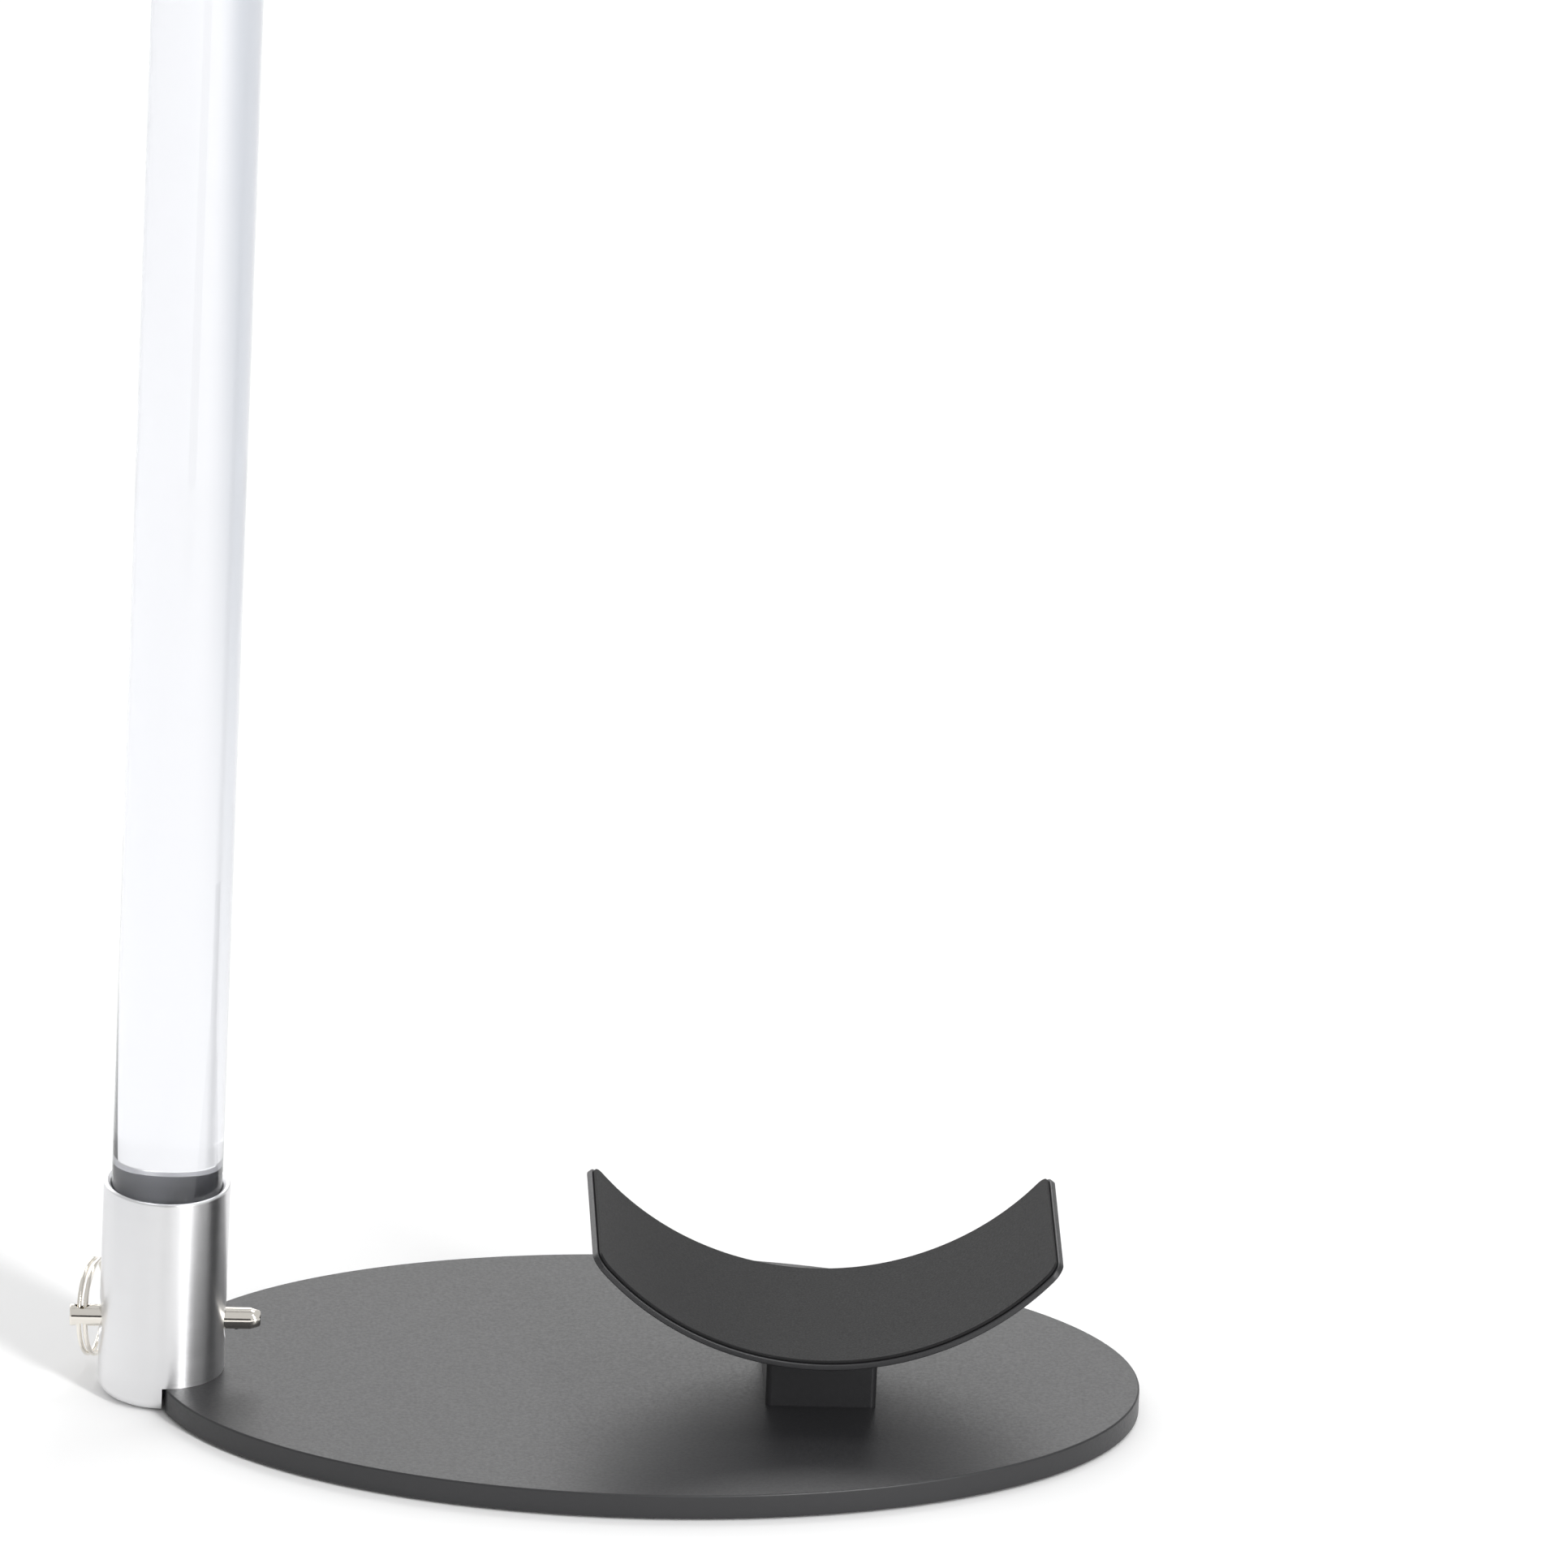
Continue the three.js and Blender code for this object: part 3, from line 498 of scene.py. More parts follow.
pin = {"radius": 2.75 * mm, "headEdge": 0.4 * mm, "nose": 2.6 * mm, "taper": 0.7 * mm, "tip": 0.3 * mm,
       "turn": 12.5, "through": 5 * mm, "eyeFromEnd": 3.1 * mm, "eye": 2 * mm, "eyeSink": 3 * mm,
       "sinkStart": 0.75 * mm, "ball": 1 * mm, "ballFromNose": 6 * mm, "ballClearance": 0.1 * mm,
       "pocketRoof": 1.5 * mm}
upright = Vector((0, math.sin(math.radians(pin["turn"])), math.cos(math.radians(pin["turn"]))))
eyePlace = Vector((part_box("release_pin")[0].x + pin["eyeFromEnd"], 0, pinAxis.z))
ballPlace = Vector((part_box("release_pin")[1].x - pin["ballFromNose"], 0, pinAxis.z))


def makePin():
    left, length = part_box("release_pin")[0].x, width("release_pin")
    radius, edge = pin["radius"], pin["headEdge"]
    outline = [(0, 0)] + arcOutline(radius - edge, edge, edge, -90, 0, 5)
    outline += [(radius, length - pin["nose"]), (radius - pin["taper"], length - pin["tip"]),
                (radius - pin["taper"] - pin["tip"], length), (0, length)]
    piece = turnTo(turnedPiece("quickReleasePin", outline), (1, 0, 0), (left, pinAxis.y, pinAxis.z))
    cutAway(piece, drillBit(pin["eye"], upright, eyePlace - upright * pin["through"], pin["through"] * 2))
    for side in (-1, 1):
        sink = turnedPiece("sink", [(0, 0), (pin["eyeSink"], 0), (0, pin["eyeSink"])], fewSides)
        turnTo(sink, upright * -side, eyePlace + upright * side * (radius + pin["sinkStart"]))
        cutAway(piece, sink)
    pocket = drillBit(pin["ball"] + pin["ballClearance"], upright, ballPlace - upright * pin["through"],
                      pin["through"] + pin["pocketRoof"])
    handOver(cutAway(piece, pocket), "release_pin")


def makeBall():
    ball = turnedPiece("detentBall", arcOutline(0, 0, pin["ball"], -90, 90, 24), fewSides)
    handOver(turnTo(ball, upright, middle("detent_ball")), "detent_ball", 60)


# Wire wound about Y: one small circle, turned and moved along Y from station to station.
def woundWire(name, radius, wire, sides, stations):
    angle, along = stations[0]
    bpy.ops.object.select_all(action="DESELECT")
    bpy.ops.mesh.primitive_circle_add(vertices=sides, radius=wire, fill_type="NOTHING",
                                      location=(radius, 0, 0))
    piece = applyPlace(named(name))
    placeBy(piece, Matrix.Translation((0, along, 0)) @ turnAbout("Y", angle))
    startEdit(piece)
    bpy.ops.mesh.select_all(action="SELECT")
    for nextAngle, nextAlong in stations[1:]:
        bpy.ops.mesh.extrude_region_move(TRANSFORM_OT_translate={"value": (0, nextAlong - along, 0)})
        bpy.ops.transform.rotate(value=-math.radians(nextAngle - angle), orient_axis="Y",
                                 center_override=(0, 0, 0))
        angle, along = nextAngle, nextAlong
    bpy.ops.mesh.select_all(action="SELECT")
    bpy.ops.mesh.fill_holes(sides=0)
    endEdit()
    return tidyNormals(piece)


ring = {"mean": 12 * mm, "wire": 0.6 * mm, "sides": 16, "pitch": 1.7 * mm, "crossing": 30,
        "end": 38, "swing": 73, "steps": 200}


# How far along the ring's axis the wire lies, at an angle from the place where it changes layer.
def layer(angle):
    across = max(-1, min(1, angle / ring["crossing"]))
    return math.sin(across * math.pi / 2) * ring["pitch"] / 2


# Two coils that change layer once, through the pin's eye.
def makeRing():
    half = 360 - ring["end"]
    angles = [half * (2 * i / ring["steps"] - 1) for i in range(ring["steps"] + 1)]
    piece = woundWire("splitRingCoil", ring["mean"], ring["wire"], ring["sides"],
                      [(angle, layer(angle)) for angle in angles])
    placeBy(piece, Matrix.Translation(eyePlace) @ turnAbout("X", -pin["turn"])
            @ turnAbout("Z", ring["swing"]) @ Matrix.Translation((ring["mean"], 0, 0)))
    handOver(piece, "split_ring", 60)


spring = {"radius": 0.7 * mm, "wire": 0.15 * mm, "sides": 12, "turns": 4, "steps": 96,
          "low": -0.74 * mm, "high": 1.3 * mm, "pressed": 0.86}


# It is pressed towards the roof of its pocket as the ball goes in.
def makeSpring():
    rise = spring["high"] - spring["low"]
    parts = [i / spring["steps"] for i in range(spring["steps"] + 1)]
    coil = woundWire("detentSpringCoil", spring["radius"], spring["wire"], spring["sides"],
                     [(360 * spring["turns"] * part, spring["low"] + rise * part) for part in parts])
    lean = Vector((0, 1, 0)).rotation_difference(upright).to_matrix().to_4x4()
    placeBy(coil, Matrix.Translation(ballPlace) @ lean)
    handOver(coil, "detent_spring", 60)
    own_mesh(coil)


makeSocket()
makeRod()
makeBumper()
makePin()
makeBall()
makeRing()
makeSpring()
print("stage: post and pin")


cradle = {"cuts": 96, "edge": 0.3 * mm, "linerEdge": 0.2 * mm, "corner": 4 * mm, "cornerSteps": 8,
          "thickness": 1.6 * mm, "liner": 0.8 * mm, "gap": 0.1 * mm, "inset": 0.6 * mm,
          "radius": 76 * mm, "half": 51.5, "hole": 1.7 * mm, "holeDepth": 4 * mm, "head": 3 * mm,
          "headDepth": 1.4 * mm, "headLand": 0.1 * mm, "sinkTop": 2 * mm}


# A flat strip with rounded corners, rounded edges and even cuts, then curled up to its radius.
def curledStrip(name, radius, thickness, inset, edge):
    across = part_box("cradle_strip")[1].y * 2 - inset * 2
    halfAngle = math.radians(cradle["half"]) - inset / cradle["radius"]
    length = radius * halfAngle * 2
    bpy.ops.object.select_all(action="DESELECT")
    bpy.ops.mesh.primitive_plane_add(size=1)
    piece = named(name)
    piece.scale = (length, across, 1)
    applyPlace(piece)
    startEdit(piece)
    bpy.ops.mesh.select_all(action="SELECT")
    bpy.ops.mesh.bevel(offset=cradle["corner"] - inset, segments=cradle["cornerSteps"], affect="VERTICES")
    bpy.ops.mesh.select_all(action="SELECT")
    bpy.ops.mesh.extrude_region_move(TRANSFORM_OT_translate={"value": (0, 0, thickness)})
    endEdit()
    tidyNormals(piece)
    roundEdges(piece, edge, 3, 60)
    startEdit(piece)
    for i in range(1, cradle["cuts"]):
        bpy.ops.mesh.select_all(action="SELECT")
        bpy.ops.mesh.bisect(plane_co=(length * (i / cradle["cuts"] - 0.5), 0, 0), plane_no=(1, 0, 0))
    endEdit()
    # The bend turns about Z, so the strip lies on edge for it and is laid back afterwards.
    placeBy(piece, turnAbout("X", -90))
    useModifier(piece, "SIMPLE_DEFORM", deform_method="BEND", deform_axis="Z", angle=halfAngle * 2)
    return placeBy(piece, turnAbout("X", 90))


def makeCradle():
    centreX, bottom = middle("cradle_strip").x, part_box("cradle_strip")[0].z
    strip = curledStrip("curvedStrip", cradle["radius"], cradle["thickness"], 0, cradle["edge"])
    moveTo(strip, (centreX, 0, bottom))
    inner = cradle["radius"] - cradle["thickness"] - cradle["gap"]
    liner = curledStrip("stripLiner", inner, cradle["liner"], cradle["inset"], cradle["linerEdge"])
    moveTo(liner, (centreX, 0, bottom + cradle["radius"] - inner))
    face = bottom + cradle["thickness"]
    hole, head, top = cradle["hole"], cradle["head"], face + cradle["sinkTop"]
    for node in stripScrews:
        sink = turnedPiece("sink", [
            (0, face - cradle["holeDepth"]), (hole, face - cradle["holeDepth"]),
            (hole, face - cradle["headDepth"]), (head, face - cradle["headLand"]), (head, top), (0, top)],
            fewSides)
        cutAway(strip, moveTo(sink, (middle(node).x, middle(node).y, 0)))
    handOver(strip, "cradle_strip", 45)
    handOver(liner, "cradle_liner", 45)


block = {"edge": 1.5 * mm, "edgeSteps": 5, "seatGap": 0.3 * mm, "seatSides": 360, "seatLength": 80 * mm,
         "largeHole": 2.2 * mm, "largeDepth": 9 * mm, "smallHole": 1.7 * mm, "smallDepth": 20 * mm}


def makeBlock():
    low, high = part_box("cradle_block")
    piece = boxAt("cradleBlock", low, high)
    startEdit(piece, "EDGE")
    bpy.ops.mesh.select_all(action="DESELECT")
    endEdit()
    for edge in piece.data.edges:
        start, end = (piece.data.vertices[i].co for i in edge.vertices)
        edge.select = (end - start).xy.length < 1e-7
    startEdit(piece, "EDGE")
    bpy.ops.mesh.bevel(offset=block["edge"], segments=block["edgeSteps"], affect="EDGES")
    endEdit()
    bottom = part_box("cradle_strip")[0].z
    seat = turnedPiece("seat", barOutline(cradle["radius"] + block["seatGap"], 0, block["seatLength"]),
                       block["seatSides"])
    turnTo(seat, (0, 1, 0), (middle("cradle_block").x, -block["seatLength"] / 2, bottom + cradle["radius"]))
    cutAway(piece, seat)
    for node in blockScrews:
        foot = (middle(node).x, middle(node).y, low.z - past)
        cutAway(piece, drillBit(block["largeHole"], (0, 0, 1), foot, block["largeDepth"]))
    for node in stripScrews:
        foot = (middle(node).x, middle(node).y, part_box(node)[0].z - past)
        cutAway(piece, drillBit(block["smallHole"], (0, 0, 1), foot, block["smallDepth"]))
    handOver(piece, "cradle_block")


makeCradle()
makeBlock()
print("stage: cradle")


clamp = {"padRadius": 4 * mm, "padEdge": 0.4 * mm, "padLength": 2.2 * mm, "padPlay": 2 * mm,
         "stud": 3 * mm, "tip": 0.6 * mm, "threadDepth": 0.45 * mm, "pitch": 1 * mm,
         "clearance": 0.2 * mm, "socketEnd": 0.3 * mm}
collar = {"bore": 16.4 * mm, "edge": 1 * mm, "edgeSteps": 5, "boss": 8 * mm, "bossRoot": 2.8 * mm}


def makeCollar():
    low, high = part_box("height_collar")
    outer, bore, edge, steps = high.y, collar["bore"], collar["edge"], collar["edgeSteps"]
    outline = [(bore, low.z)] + arcOutline(outer - edge, low.z + edge, edge, -90, 0, steps)
    outline += arcOutline(outer - edge, high.z - edge, edge, 0, 90, steps)
    outline += [(bore, high.z), (bore, low.z)]
    piece = moveTo(turnedPiece("clampCollar", outline, manySides), postAxis)
    boltAxis = (postAxis.x, 0, (low.z + high.z) / 2)
    reach = postAxis.x - low.x
    bossOutline = [(0, bore + collar["bossRoot"]), (collar["boss"], bore + collar["bossRoot"])]
    bossOutline += arcOutline(collar["boss"] - edge, reach - edge, edge, 0, 90, steps) + [(0, reach)]
    weldOn(piece, turnTo(turnedPiece("boss", bossOutline, someSides), (-1, 0, 0), boltAxis))
    seatEnd = bore + clamp["padLength"] + clamp["padPlay"]
    cutAway(piece, drillBit(clamp["padRadius"], (-1, 0, 0), boltAxis, seatEnd),
            drillBit(clamp["stud"] + clamp["clearance"], (-1, 0, 0), boltAxis, reach + past))
    handOver(piece, "height_collar")


bush = {"inner": 14.2 * mm, "outer": 16.2 * mm, "edge": 0.4 * mm, "slotHalf": 4.5 * mm,
        "slotReach": 60 * mm}


def makeBush():
    low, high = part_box("collar_bush")
    flange, inner, edge = high.y, bush["inner"], bush["edge"]
    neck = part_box("height_collar")[1].z
    outline = [(inner, low.z), (bush["outer"], low.z), (bush["outer"], neck), (flange, neck)]
    outline += arcOutline(flange - edge, high.z - edge, edge, 0, 90, 4)
    outline += [(inner, high.z), (inner, low.z)]
    piece = moveTo(turnedPiece("flangedBush", outline, manySides), postAxis)
    slot = boxAt("slot", (postAxis.x - bush["slotReach"], -bush["slotHalf"], low.z - past),
                 (postAxis.x, bush["slotHalf"], high.z + past))
    handOver(cutAway(piece, slot), "collar_bush")


knob = {"lobes": 7, "stepsPerLobe": 24, "lobeDepth": 1.6 * mm, "edge": 1.4 * mm, "edgeSteps": 5,
        "rim": 2.4 * mm, "dishDepth": 0.5 * mm}


def makeClamp():
    low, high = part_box("pressure_pad")
    axisZ = middle("pressure_pad").z
    radius, length, edge = (high.z - low.z) / 2, high.x - low.x, clamp["padEdge"]
    outline = [(0, 0)] + arcOutline(radius - edge, edge, edge, -90, 0, 4)
    outline += [(radius, length), (0, length)]
    pad = turnedPiece("nylonPad", outline, someSides)
    handOver(turnTo(pad, (-1, 0, 0), (high.x, 0, axisZ)), "pressure_pad")

    low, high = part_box("clamp_stud")
    length, radius, pitch, tip = high.x - low.x, clamp["stud"], clamp["pitch"], clamp["tip"]
    outline = [(0, 0), (radius - tip, 0), (radius, tip)]
    outline += threadOutline(radius, clamp["threadDepth"], pitch, tip, length - 1.5 * pitch)
    outline += [(radius, length), (0, length)]
    stud = turnedPiece("threadedStud", outline, someSides)
    handOver(turnTo(stud, (-1, 0, 0), (high.x, 0, axisZ)), "clamp_stud", 25)
    studEnd = low.x - clamp["socketEnd"]

    low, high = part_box("clamp_knob")
    grip = lobedSlab("lobedKnob", high.z - axisZ, high.x - low.x)
    cutAway(grip, drillBit(clamp["stud"] + clamp["clearance"], (0, 0, 1), (0, 0, -past),
                           high.x - studEnd + past))
    placeBy(grip, Matrix.Translation((high.x, 0, axisZ)) @ turnAbout("Y", -90))
    handOver(grip, "clamp_knob")


# A lobed outline drawn by extruding one vertex round it, made solid, dished on both faces.
def lobedSlab(name, radius, length):
    steps = knob["lobes"] * knob["stepsPerLobe"]
    outline = []
    for i in range(steps):
        angle = math.tau * i / steps
        r = radius - knob["lobeDepth"] * (0.5 - 0.5 * math.cos(angle * knob["lobes"]))
        outline.append(Vector((r * math.cos(angle), r * math.sin(angle), 0)))
    bpy.ops.object.select_all(action="DESELECT")
    bpy.ops.mesh.primitive_plane_add(size=mm)
    slab = named(name)
    startEdit(slab)
    bpy.ops.mesh.select_all(action="SELECT")
    bpy.ops.mesh.merge(type="CENTER")
    bpy.ops.transform.translate(value=outline[0])
    for start, end in zip(outline, outline[1:]):
        bpy.ops.mesh.extrude_region_move(TRANSFORM_OT_translate={"value": end - start})
    bpy.ops.mesh.select_all(action="SELECT")
    bpy.ops.mesh.edge_face_add()
    bpy.ops.mesh.extrude_region_move(TRANSFORM_OT_translate={"value": (0, 0, length)})
    endEdit()
    tidyNormals(slab)
    roundEdges(slab, knob["edge"], knob["edgeSteps"], 50)
    dish, depth = radius - knob["lobeDepth"] - knob["rim"], knob["dishDepth"]
    for face, outward in ((0, -1), (length, 1)):
        inside, outside = face - outward * depth, face + outward * depth
        cutAway(slab, turnedPiece("dish", [
            (0, inside), (dish - depth, inside), (dish + depth, outside), (0, outside)]))
    return slab


pivot = middle("pivot_nut")
pivotAxis = Vector((pivot.x, pivot.y, 0))
pivotHole = 3.2 * mm
arm = {"edge": 0.8 * mm, "edgeSteps": 4, "eyeClearance": 0.4 * mm}


def pivotDrill(low, high):
    return drillBit(pivotHole, (0, 0, 1), (pivot.x, pivot.y, low.z - past), high.z - low.z + 2 * past)


def makeArm():
    low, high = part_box("swivel_arm")
    discs = []
    for place, radius in ((postAxis, postAxis.x - low.x), (pivotAxis, high.x - pivot.x)):
        disc = turnedPiece("disc", barOutline(radius, low.z, high.z), manySides)
        discs.append(moveTo(disc, place))
    useOnly(discs[0])
    discs[1].select_set(True)
    bpy.ops.object.join()
    piece = named("swivelArm")
    startEdit(piece)
    bpy.ops.mesh.select_all(action="SELECT")
    bpy.ops.mesh.convex_hull(join_triangles=True)
    bpy.ops.mesh.select_all(action="SELECT")
    bpy.ops.mesh.dissolve_limited(angle_limit=math.radians(0.5))
    endEdit()
    roundEdges(piece, arm["edge"], arm["edgeSteps"])
    eye = width("post_rod") / 2 + arm["eyeClearance"]
    cutAway(piece, drillBit(eye, (0, 0, 1), (postAxis.x, 0, low.z - past), high.z - low.z + 2 * past,
                            manySides), pivotDrill(low, high))
    handOver(piece, "swivel_arm")


washer = {"edge": 0.2 * mm}


def makeWashers():
    for node in ("pivot_washer_top", "pivot_spacer", "pivot_washer_bottom"):
        low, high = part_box(node)
        outer = (high.x - low.x) / 2
        piece = turnedPiece(node.replace("_", "-") + "-fine", [
            (pivotHole, low.z), (outer, low.z), (outer, high.z), (pivotHole, high.z), (pivotHole, low.z)])
        handOver(roundEdges(moveTo(piece, pivotAxis), washer["edge"]), node)


button = {"radius": 3 * mm, "tip": 0.6 * mm, "threadDepth": 0.45 * mm, "pitch": 1 * mm,
          "headSide": 0.8 * mm, "domeAngles": (12, 24, 36, 46, 54), "key": 4 * mm, "keyDepth": 2 * mm}


def makePivotScrew():
    low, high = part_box("pivot_screw")
    head = (high.x - low.x) / 2
    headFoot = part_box("pivot_washer_top")[1].z
    radius, tip, shoulder = button["radius"], button["tip"], headFoot + button["headSide"]
    outline = [(0, low.z), (radius - tip, low.z), (radius, low.z + tip)]
    outline += threadOutline(radius, button["threadDepth"], button["pitch"], low.z + tip,
                             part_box("pivot_nut")[1].z)
    outline += [(radius, headFoot), (head, headFoot), (head, shoulder)]
    outline += [(head * math.cos(a), shoulder + (high.z - shoulder) * math.sin(a))
                for a in [math.radians(d) for d in button["domeAngles"]]]
    outline += [(head / 2, high.z), (0, high.z)]
    piece = turnedPiece("buttonHeadScrew", outline)
    cutAway(piece, hexBar(button["key"], high.z - button["keyDepth"], high.z + past))
    handOver(moveTo(piece, pivotAxis), "pivot_screw", 30)


nut = {"flats": 10 * mm, "faceShare": 0.96, "cornerShare": 1.02, "chamfer": 0.8 * mm, "turn": 30}


# A hexagon whose corners are taken off above and below, as a turned nut's are.
def makeNut():
    low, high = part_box("pivot_nut")
    corner = nut["flats"] / math.sqrt(3)
    face, widest = nut["flats"] / 2 * nut["faceShare"], corner * nut["cornerShare"]
    piece = hexBar(nut["flats"], low.z, high.z)
    piece.name = "hexNut"
    crown = turnedPiece("crown", barOutline(corner * 2, low.z - past, high.z + past))
    keep = turnedPiece("keep", [
        (0, low.z - 2 * past), (face, low.z - 2 * past), (face, low.z),
        (widest, low.z + nut["chamfer"]), (widest, high.z - nut["chamfer"]), (face, high.z),
        (face, high.z + 2 * past), (0, high.z + 2 * past)])
    cutAway(crown, keep)
    drill = drillBit(pivotHole, (0, 0, 1), (0, 0, low.z - past), high.z - low.z + 2 * past)
    cutAway(piece, crown, drill)
    placeBy(piece, Matrix.Translation(pivotAxis) @ turnAbout("Z", nut["turn"]))
    handOver(piece, "pivot_nut")


yoke = {"rod": 4 * mm, "setback": 42 * mm, "boss": 9 * mm, "sleeve": 7 * mm, "wall": 2.8 * mm,
        "edge": 0.8 * mm, "edgeSteps": 4, "sleeveTurn": 65, "boreExtra": 3, "capGap": 0.3 * mm,
        "bendSteps": 72, "sides": 48}


# A round section drawn up the left prong, spun round the bend and drawn down the right one.
def bentTube(name, radius, fromY, turn, lastY=None):
    low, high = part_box("yoke_frame")
    bend = (high.x - low.x) / 2 - yoke["rod"]
    centre = Vector(((low.x + high.x) / 2, pivot.y - yoke["setback"], middle("yoke_sleeve_left").z))
    bpy.ops.object.select_all(action="DESELECT")
    bpy.ops.mesh.primitive_circle_add(vertices=yoke["sides"], radius=radius, fill_type="NOTHING",
                                      location=(centre.x - bend, fromY, centre.z),
                                      rotation=(math.radians(90), 0, 0))
    piece = applyPlace(named(name))
    startEdit(piece)
    bpy.ops.mesh.select_all(action="SELECT")
    bpy.ops.mesh.extrude_region_move(TRANSFORM_OT_translate={"value": (0, centre.y - fromY, 0)})
    steps = max(8, round(yoke["bendSteps"] * turn / 180))
    bpy.ops.mesh.spin(steps=steps, angle=math.radians(turn), center=centre, axis=(0, 0, 1))
    if lastY is not None:
        bpy.ops.mesh.extrude_region_move(TRANSFORM_OT_translate={"value": (0, lastY - centre.y, 0)})
    bpy.ops.mesh.select_all(action="SELECT")
    bpy.ops.mesh.fill_holes(sides=0)
    endEdit()
    return tidyNormals(piece)


cap = {"dome": 4 * mm, "roof": 0.2 * mm, "edge": 0.6 * mm, "domeStep": 9}


def makeYoke():
    low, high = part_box("yoke_frame")
    frameRod = bentTube("yokeRod", yoke["rod"], low.y, 180, low.y)
    boss = moveTo(turnedPiece("boss", barOutline(yoke["boss"], low.z, high.z)), pivotAxis)
    weldOn(frameRod, roundEdges(boss, yoke["edge"], yoke["edgeSteps"]))
    handOver(cutAway(frameRod, pivotDrill(low, high)), "yoke_frame")

    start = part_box("yoke_cap_left")[1].y + yoke["capGap"]
    sleeve = bentTube("leftSleeve", yoke["sleeve"], start, yoke["sleeveTurn"])
    roundEdges(sleeve, yoke["edge"], yoke["edgeSteps"], 50)
    cutAway(sleeve, bentTube("bore", yoke["sleeve"] - yoke["wall"], start - past,
                             yoke["sleeveTurn"] + yoke["boreExtra"]))
    other = copyOf(sleeve, "rightSleeve")
    tidyNormals(placeBy(other, Matrix.Translation((pivot.x * 2, 0, 0)) @ Matrix.Diagonal((-1, 1, 1, 1))))
    handOver(sleeve, "yoke_sleeve_left")
    handOver(other, "yoke_sleeve_right")


def makeCaps():
    for side in ("left", "right"):
        node = "yoke_cap_" + side
        low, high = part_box(node)
        outer, length, edge = (high.x - low.x) / 2, high.y - low.y, cap["edge"]
        inner, tip = outer - yoke["wall"], length - cap["dome"]
        outline = [(0, tip - cap["roof"]), (inner, tip - cap["roof"]), (inner, 0)]
        outline += arcOutline(outer - edge, edge, edge, -90, 0, 4)
        outline += [(outer * math.cos(a), tip + cap["dome"] * math.sin(a))
                    for a in [math.radians(d) for d in range(0, 90, cap["domeStep"])]]
        outline += [(0, length)]
        piece = turnedPiece(side + "Cap", outline, someSides)
        handOver(turnTo(piece, (0, -1, 0), (middle(node).x, high.y, middle(node).z)), node, 45)


makeCollar()
makeBush()
makeClamp()
makeArm()
makeWashers()
makePivotScrew()
makeNut()
makeYoke()
makeCaps()
print("stage: upper rest")


floorLook = {"size": 6.0, "near": "#fbfbfb", "far": "#d9dce0", "fadeFrom": -0.18, "fadeTo": -0.6,
             "roughness": 0.9}


# White by the stand, with painted shade falling off to a cool grey far to its left, where a sweep's light
# would fall off.
def makeFloor():
    bpy.ops.object.select_all(action="DESELECT")
    bpy.ops.mesh.primitive_plane_add(size=floorLook["size"])
    floor = named("studioFloor")
    material = bpy.data.materials.new("floorWithPaintedShade")
    material.use_nodes = True
    tree = material.node_tree
    place = addNode(tree, "ShaderNodeTexCoord")
    across = addNode(tree, "ShaderNodeSeparateXYZ", {}, {"Vector": place.outputs["Object"]})
    # painted shade: the floor's colour greys off to the left, standing in for the sweep's light falling off
    fade = addNode(tree, "ShaderNodeMapRange", {"interpolation_type": "SMOOTHSTEP"}, {
        "Value": across.outputs["X"], "From Min": floorLook["fadeFrom"], "From Max": floorLook["fadeTo"]})
    tint = addNode(tree, "ShaderNodeMix", {"data_type": "RGBA"}, {
        "Factor": fade.outputs["Result"], "A": colour(floorLook["near"]), "B": colour(floorLook["far"])})
    shader = tree.nodes["Principled BSDF"]
    tree.links.new(tint.outputs[2], shader.inputs["Base Color"])
    shader.inputs["Roughness"].default_value = floorLook["roughness"]
    floor.data.materials.append(material)


cardLook = {"place": (-0.12, -0.6, 0.11), "size": (0.17, 0.2, 1), "colour": "#1c1a1a"}


# A dark card in front, seen only in reflections, for the line that it gives polished round bars.
def makeCard():
    bpy.ops.object.select_all(action="DESELECT")
    bpy.ops.mesh.primitive_plane_add(size=1, location=cardLook["place"], rotation=(math.radians(90), 0, 0))
    card = named("darkCard")
    card.scale = cardLook["size"]
    card.visible_camera = False
    card.visible_transmission = False
    material = bpy.data.materials.new("darkCard")
    material.use_nodes = True
    shader = material.node_tree.nodes["Principled BSDF"]
    shader.inputs["Base Color"].default_value = colour(cardLook["colour"])
    card.data.materials.append(material)


lights = {
    "keyLight": {"place": (0.5, 1.0, 2.2), "size": (0.7, 0.7), "power": 6.5, "aim": (0, 0, 0.1)},
    "stripLight": {"place": (0.62, -1.0, 0.75), "size": (0.15, 1.5), "power": 14, "aim": (-0.12, 0, 0.1)},
    "sheenLight": {"place": (-0.7, 2.2, 1.0), "size": (3.0, 1.3), "power": 20, "aim": (0, 0, 0.1)},
}


def makeLight(name, place, size, power, aim):
    bpy.ops.object.light_add(type="AREA", location=place)
    light = named(name)
    light.data.shape = "RECTANGLE"
    light.data.size, light.data.size_y = size
    light.data.energy = power
    light.visible_camera = False
    light.rotation_euler = (Vector(place) - Vector(aim)).to_track_quat("Z", "Y").to_euler()


lens = {"distance": 8.0, "azimuth": -2.9, "elevation": 22.9, "roll": 2.41, "length": 731.7,
        "sensor": 36, "clipEnd": 60, "aim": (0.0286, 0.0, 0.1698)}


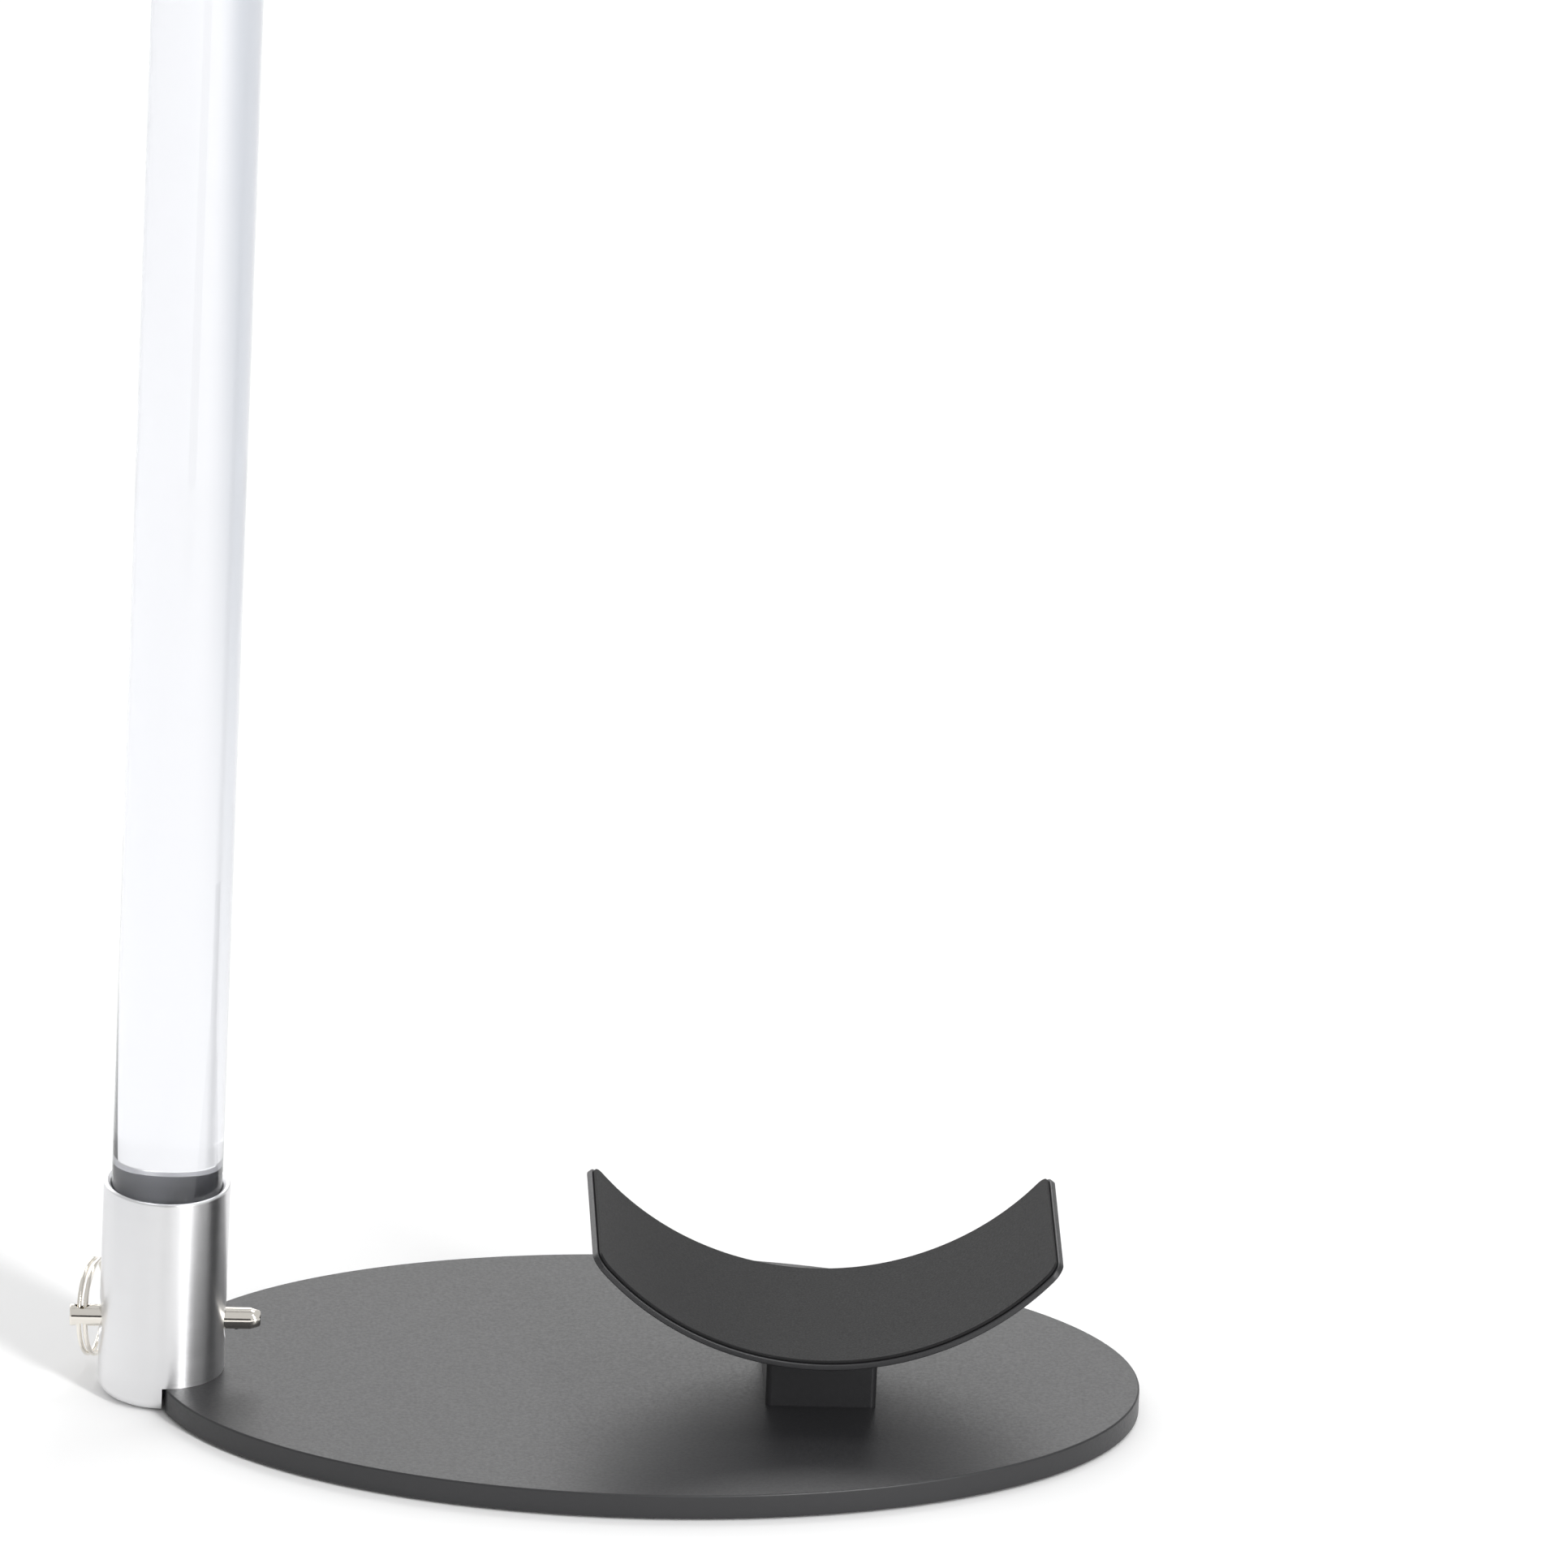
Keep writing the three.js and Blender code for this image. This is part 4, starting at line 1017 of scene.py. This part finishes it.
def makeCamera():
    turn = (Matrix.Rotation(math.radians(lens["azimuth"]), 4, "Z")
            @ Matrix.Rotation(math.radians(90 - lens["elevation"]), 4, "X")
            @ Matrix.Rotation(math.radians(lens["roll"]), 4, "Z"))
    data = bpy.data.cameras.new("studioCamera")
    camera = bpy.data.objects.new("studioCamera", data)
    scene.collection.objects.link(camera)
    data.lens = lens["length"]
    data.sensor_width = lens["sensor"]
    data.clip_end = lens["clipEnd"]
    place = Vector(lens["aim"]) + turn.to_3x3() @ Vector((0, 0, lens["distance"]))
    camera.matrix_world = Matrix.Translation(place) @ turn
    scene.camera = camera


room = {"strength": 0.655, "paint": "#ffffff", "flag": "#8c8c8e", "flagPlace": (0.985, 0.17, 0.1),
        "flagEdge": (0.9, 0.99)}


# A white room with one soft dark flag to the right; the lens itself sees plain white.
def makeWorld():
    world = bpy.data.worlds.new("studioWorld")
    scene.world = world
    world.use_nodes = True
    tree = world.node_tree
    tree.nodes.clear()
    place = addNode(tree, "ShaderNodeTexCoord")
    toFlag = addNode(tree, "ShaderNodeVectorMath", {"operation": "DOT_PRODUCT"}, {
        0: place.outputs["Generated"], 1: Vector(room["flagPlace"]).normalized()})
    shade = addNode(tree, "ShaderNodeMapRange", {"interpolation_type": "SMOOTHSTEP"}, {
        "Value": toFlag.outputs["Value"], "From Min": room["flagEdge"][0], "From Max": room["flagEdge"][1]})
    paint = addNode(tree, "ShaderNodeMix", {"data_type": "RGBA"}, {
        "Factor": shade.outputs["Result"], "A": colour(room["paint"]), "B": colour(room["flag"])})
    lit = addNode(tree, "ShaderNodeBackground", {}, {
        "Color": paint.outputs[2], "Strength": room["strength"]})
    seen = addNode(tree, "ShaderNodeBackground", {}, {"Color": colour(room["paint"]), "Strength": 1.0})
    ray = addNode(tree, "ShaderNodeLightPath")
    both = addNode(tree, "ShaderNodeMixShader", {}, {
        0: ray.outputs["Is Camera Ray"], 1: lit.outputs["Background"], 2: seen.outputs["Background"]})
    addNode(tree, "ShaderNodeOutputWorld", {}, {"Surface": both.outputs["Shader"]})


scene.view_settings.view_transform = "Standard"
makeWorld()
makeFloor()
for name, light in lights.items():
    makeLight(name, **light)
makeCard()
makeCamera()
print("stage: studio")
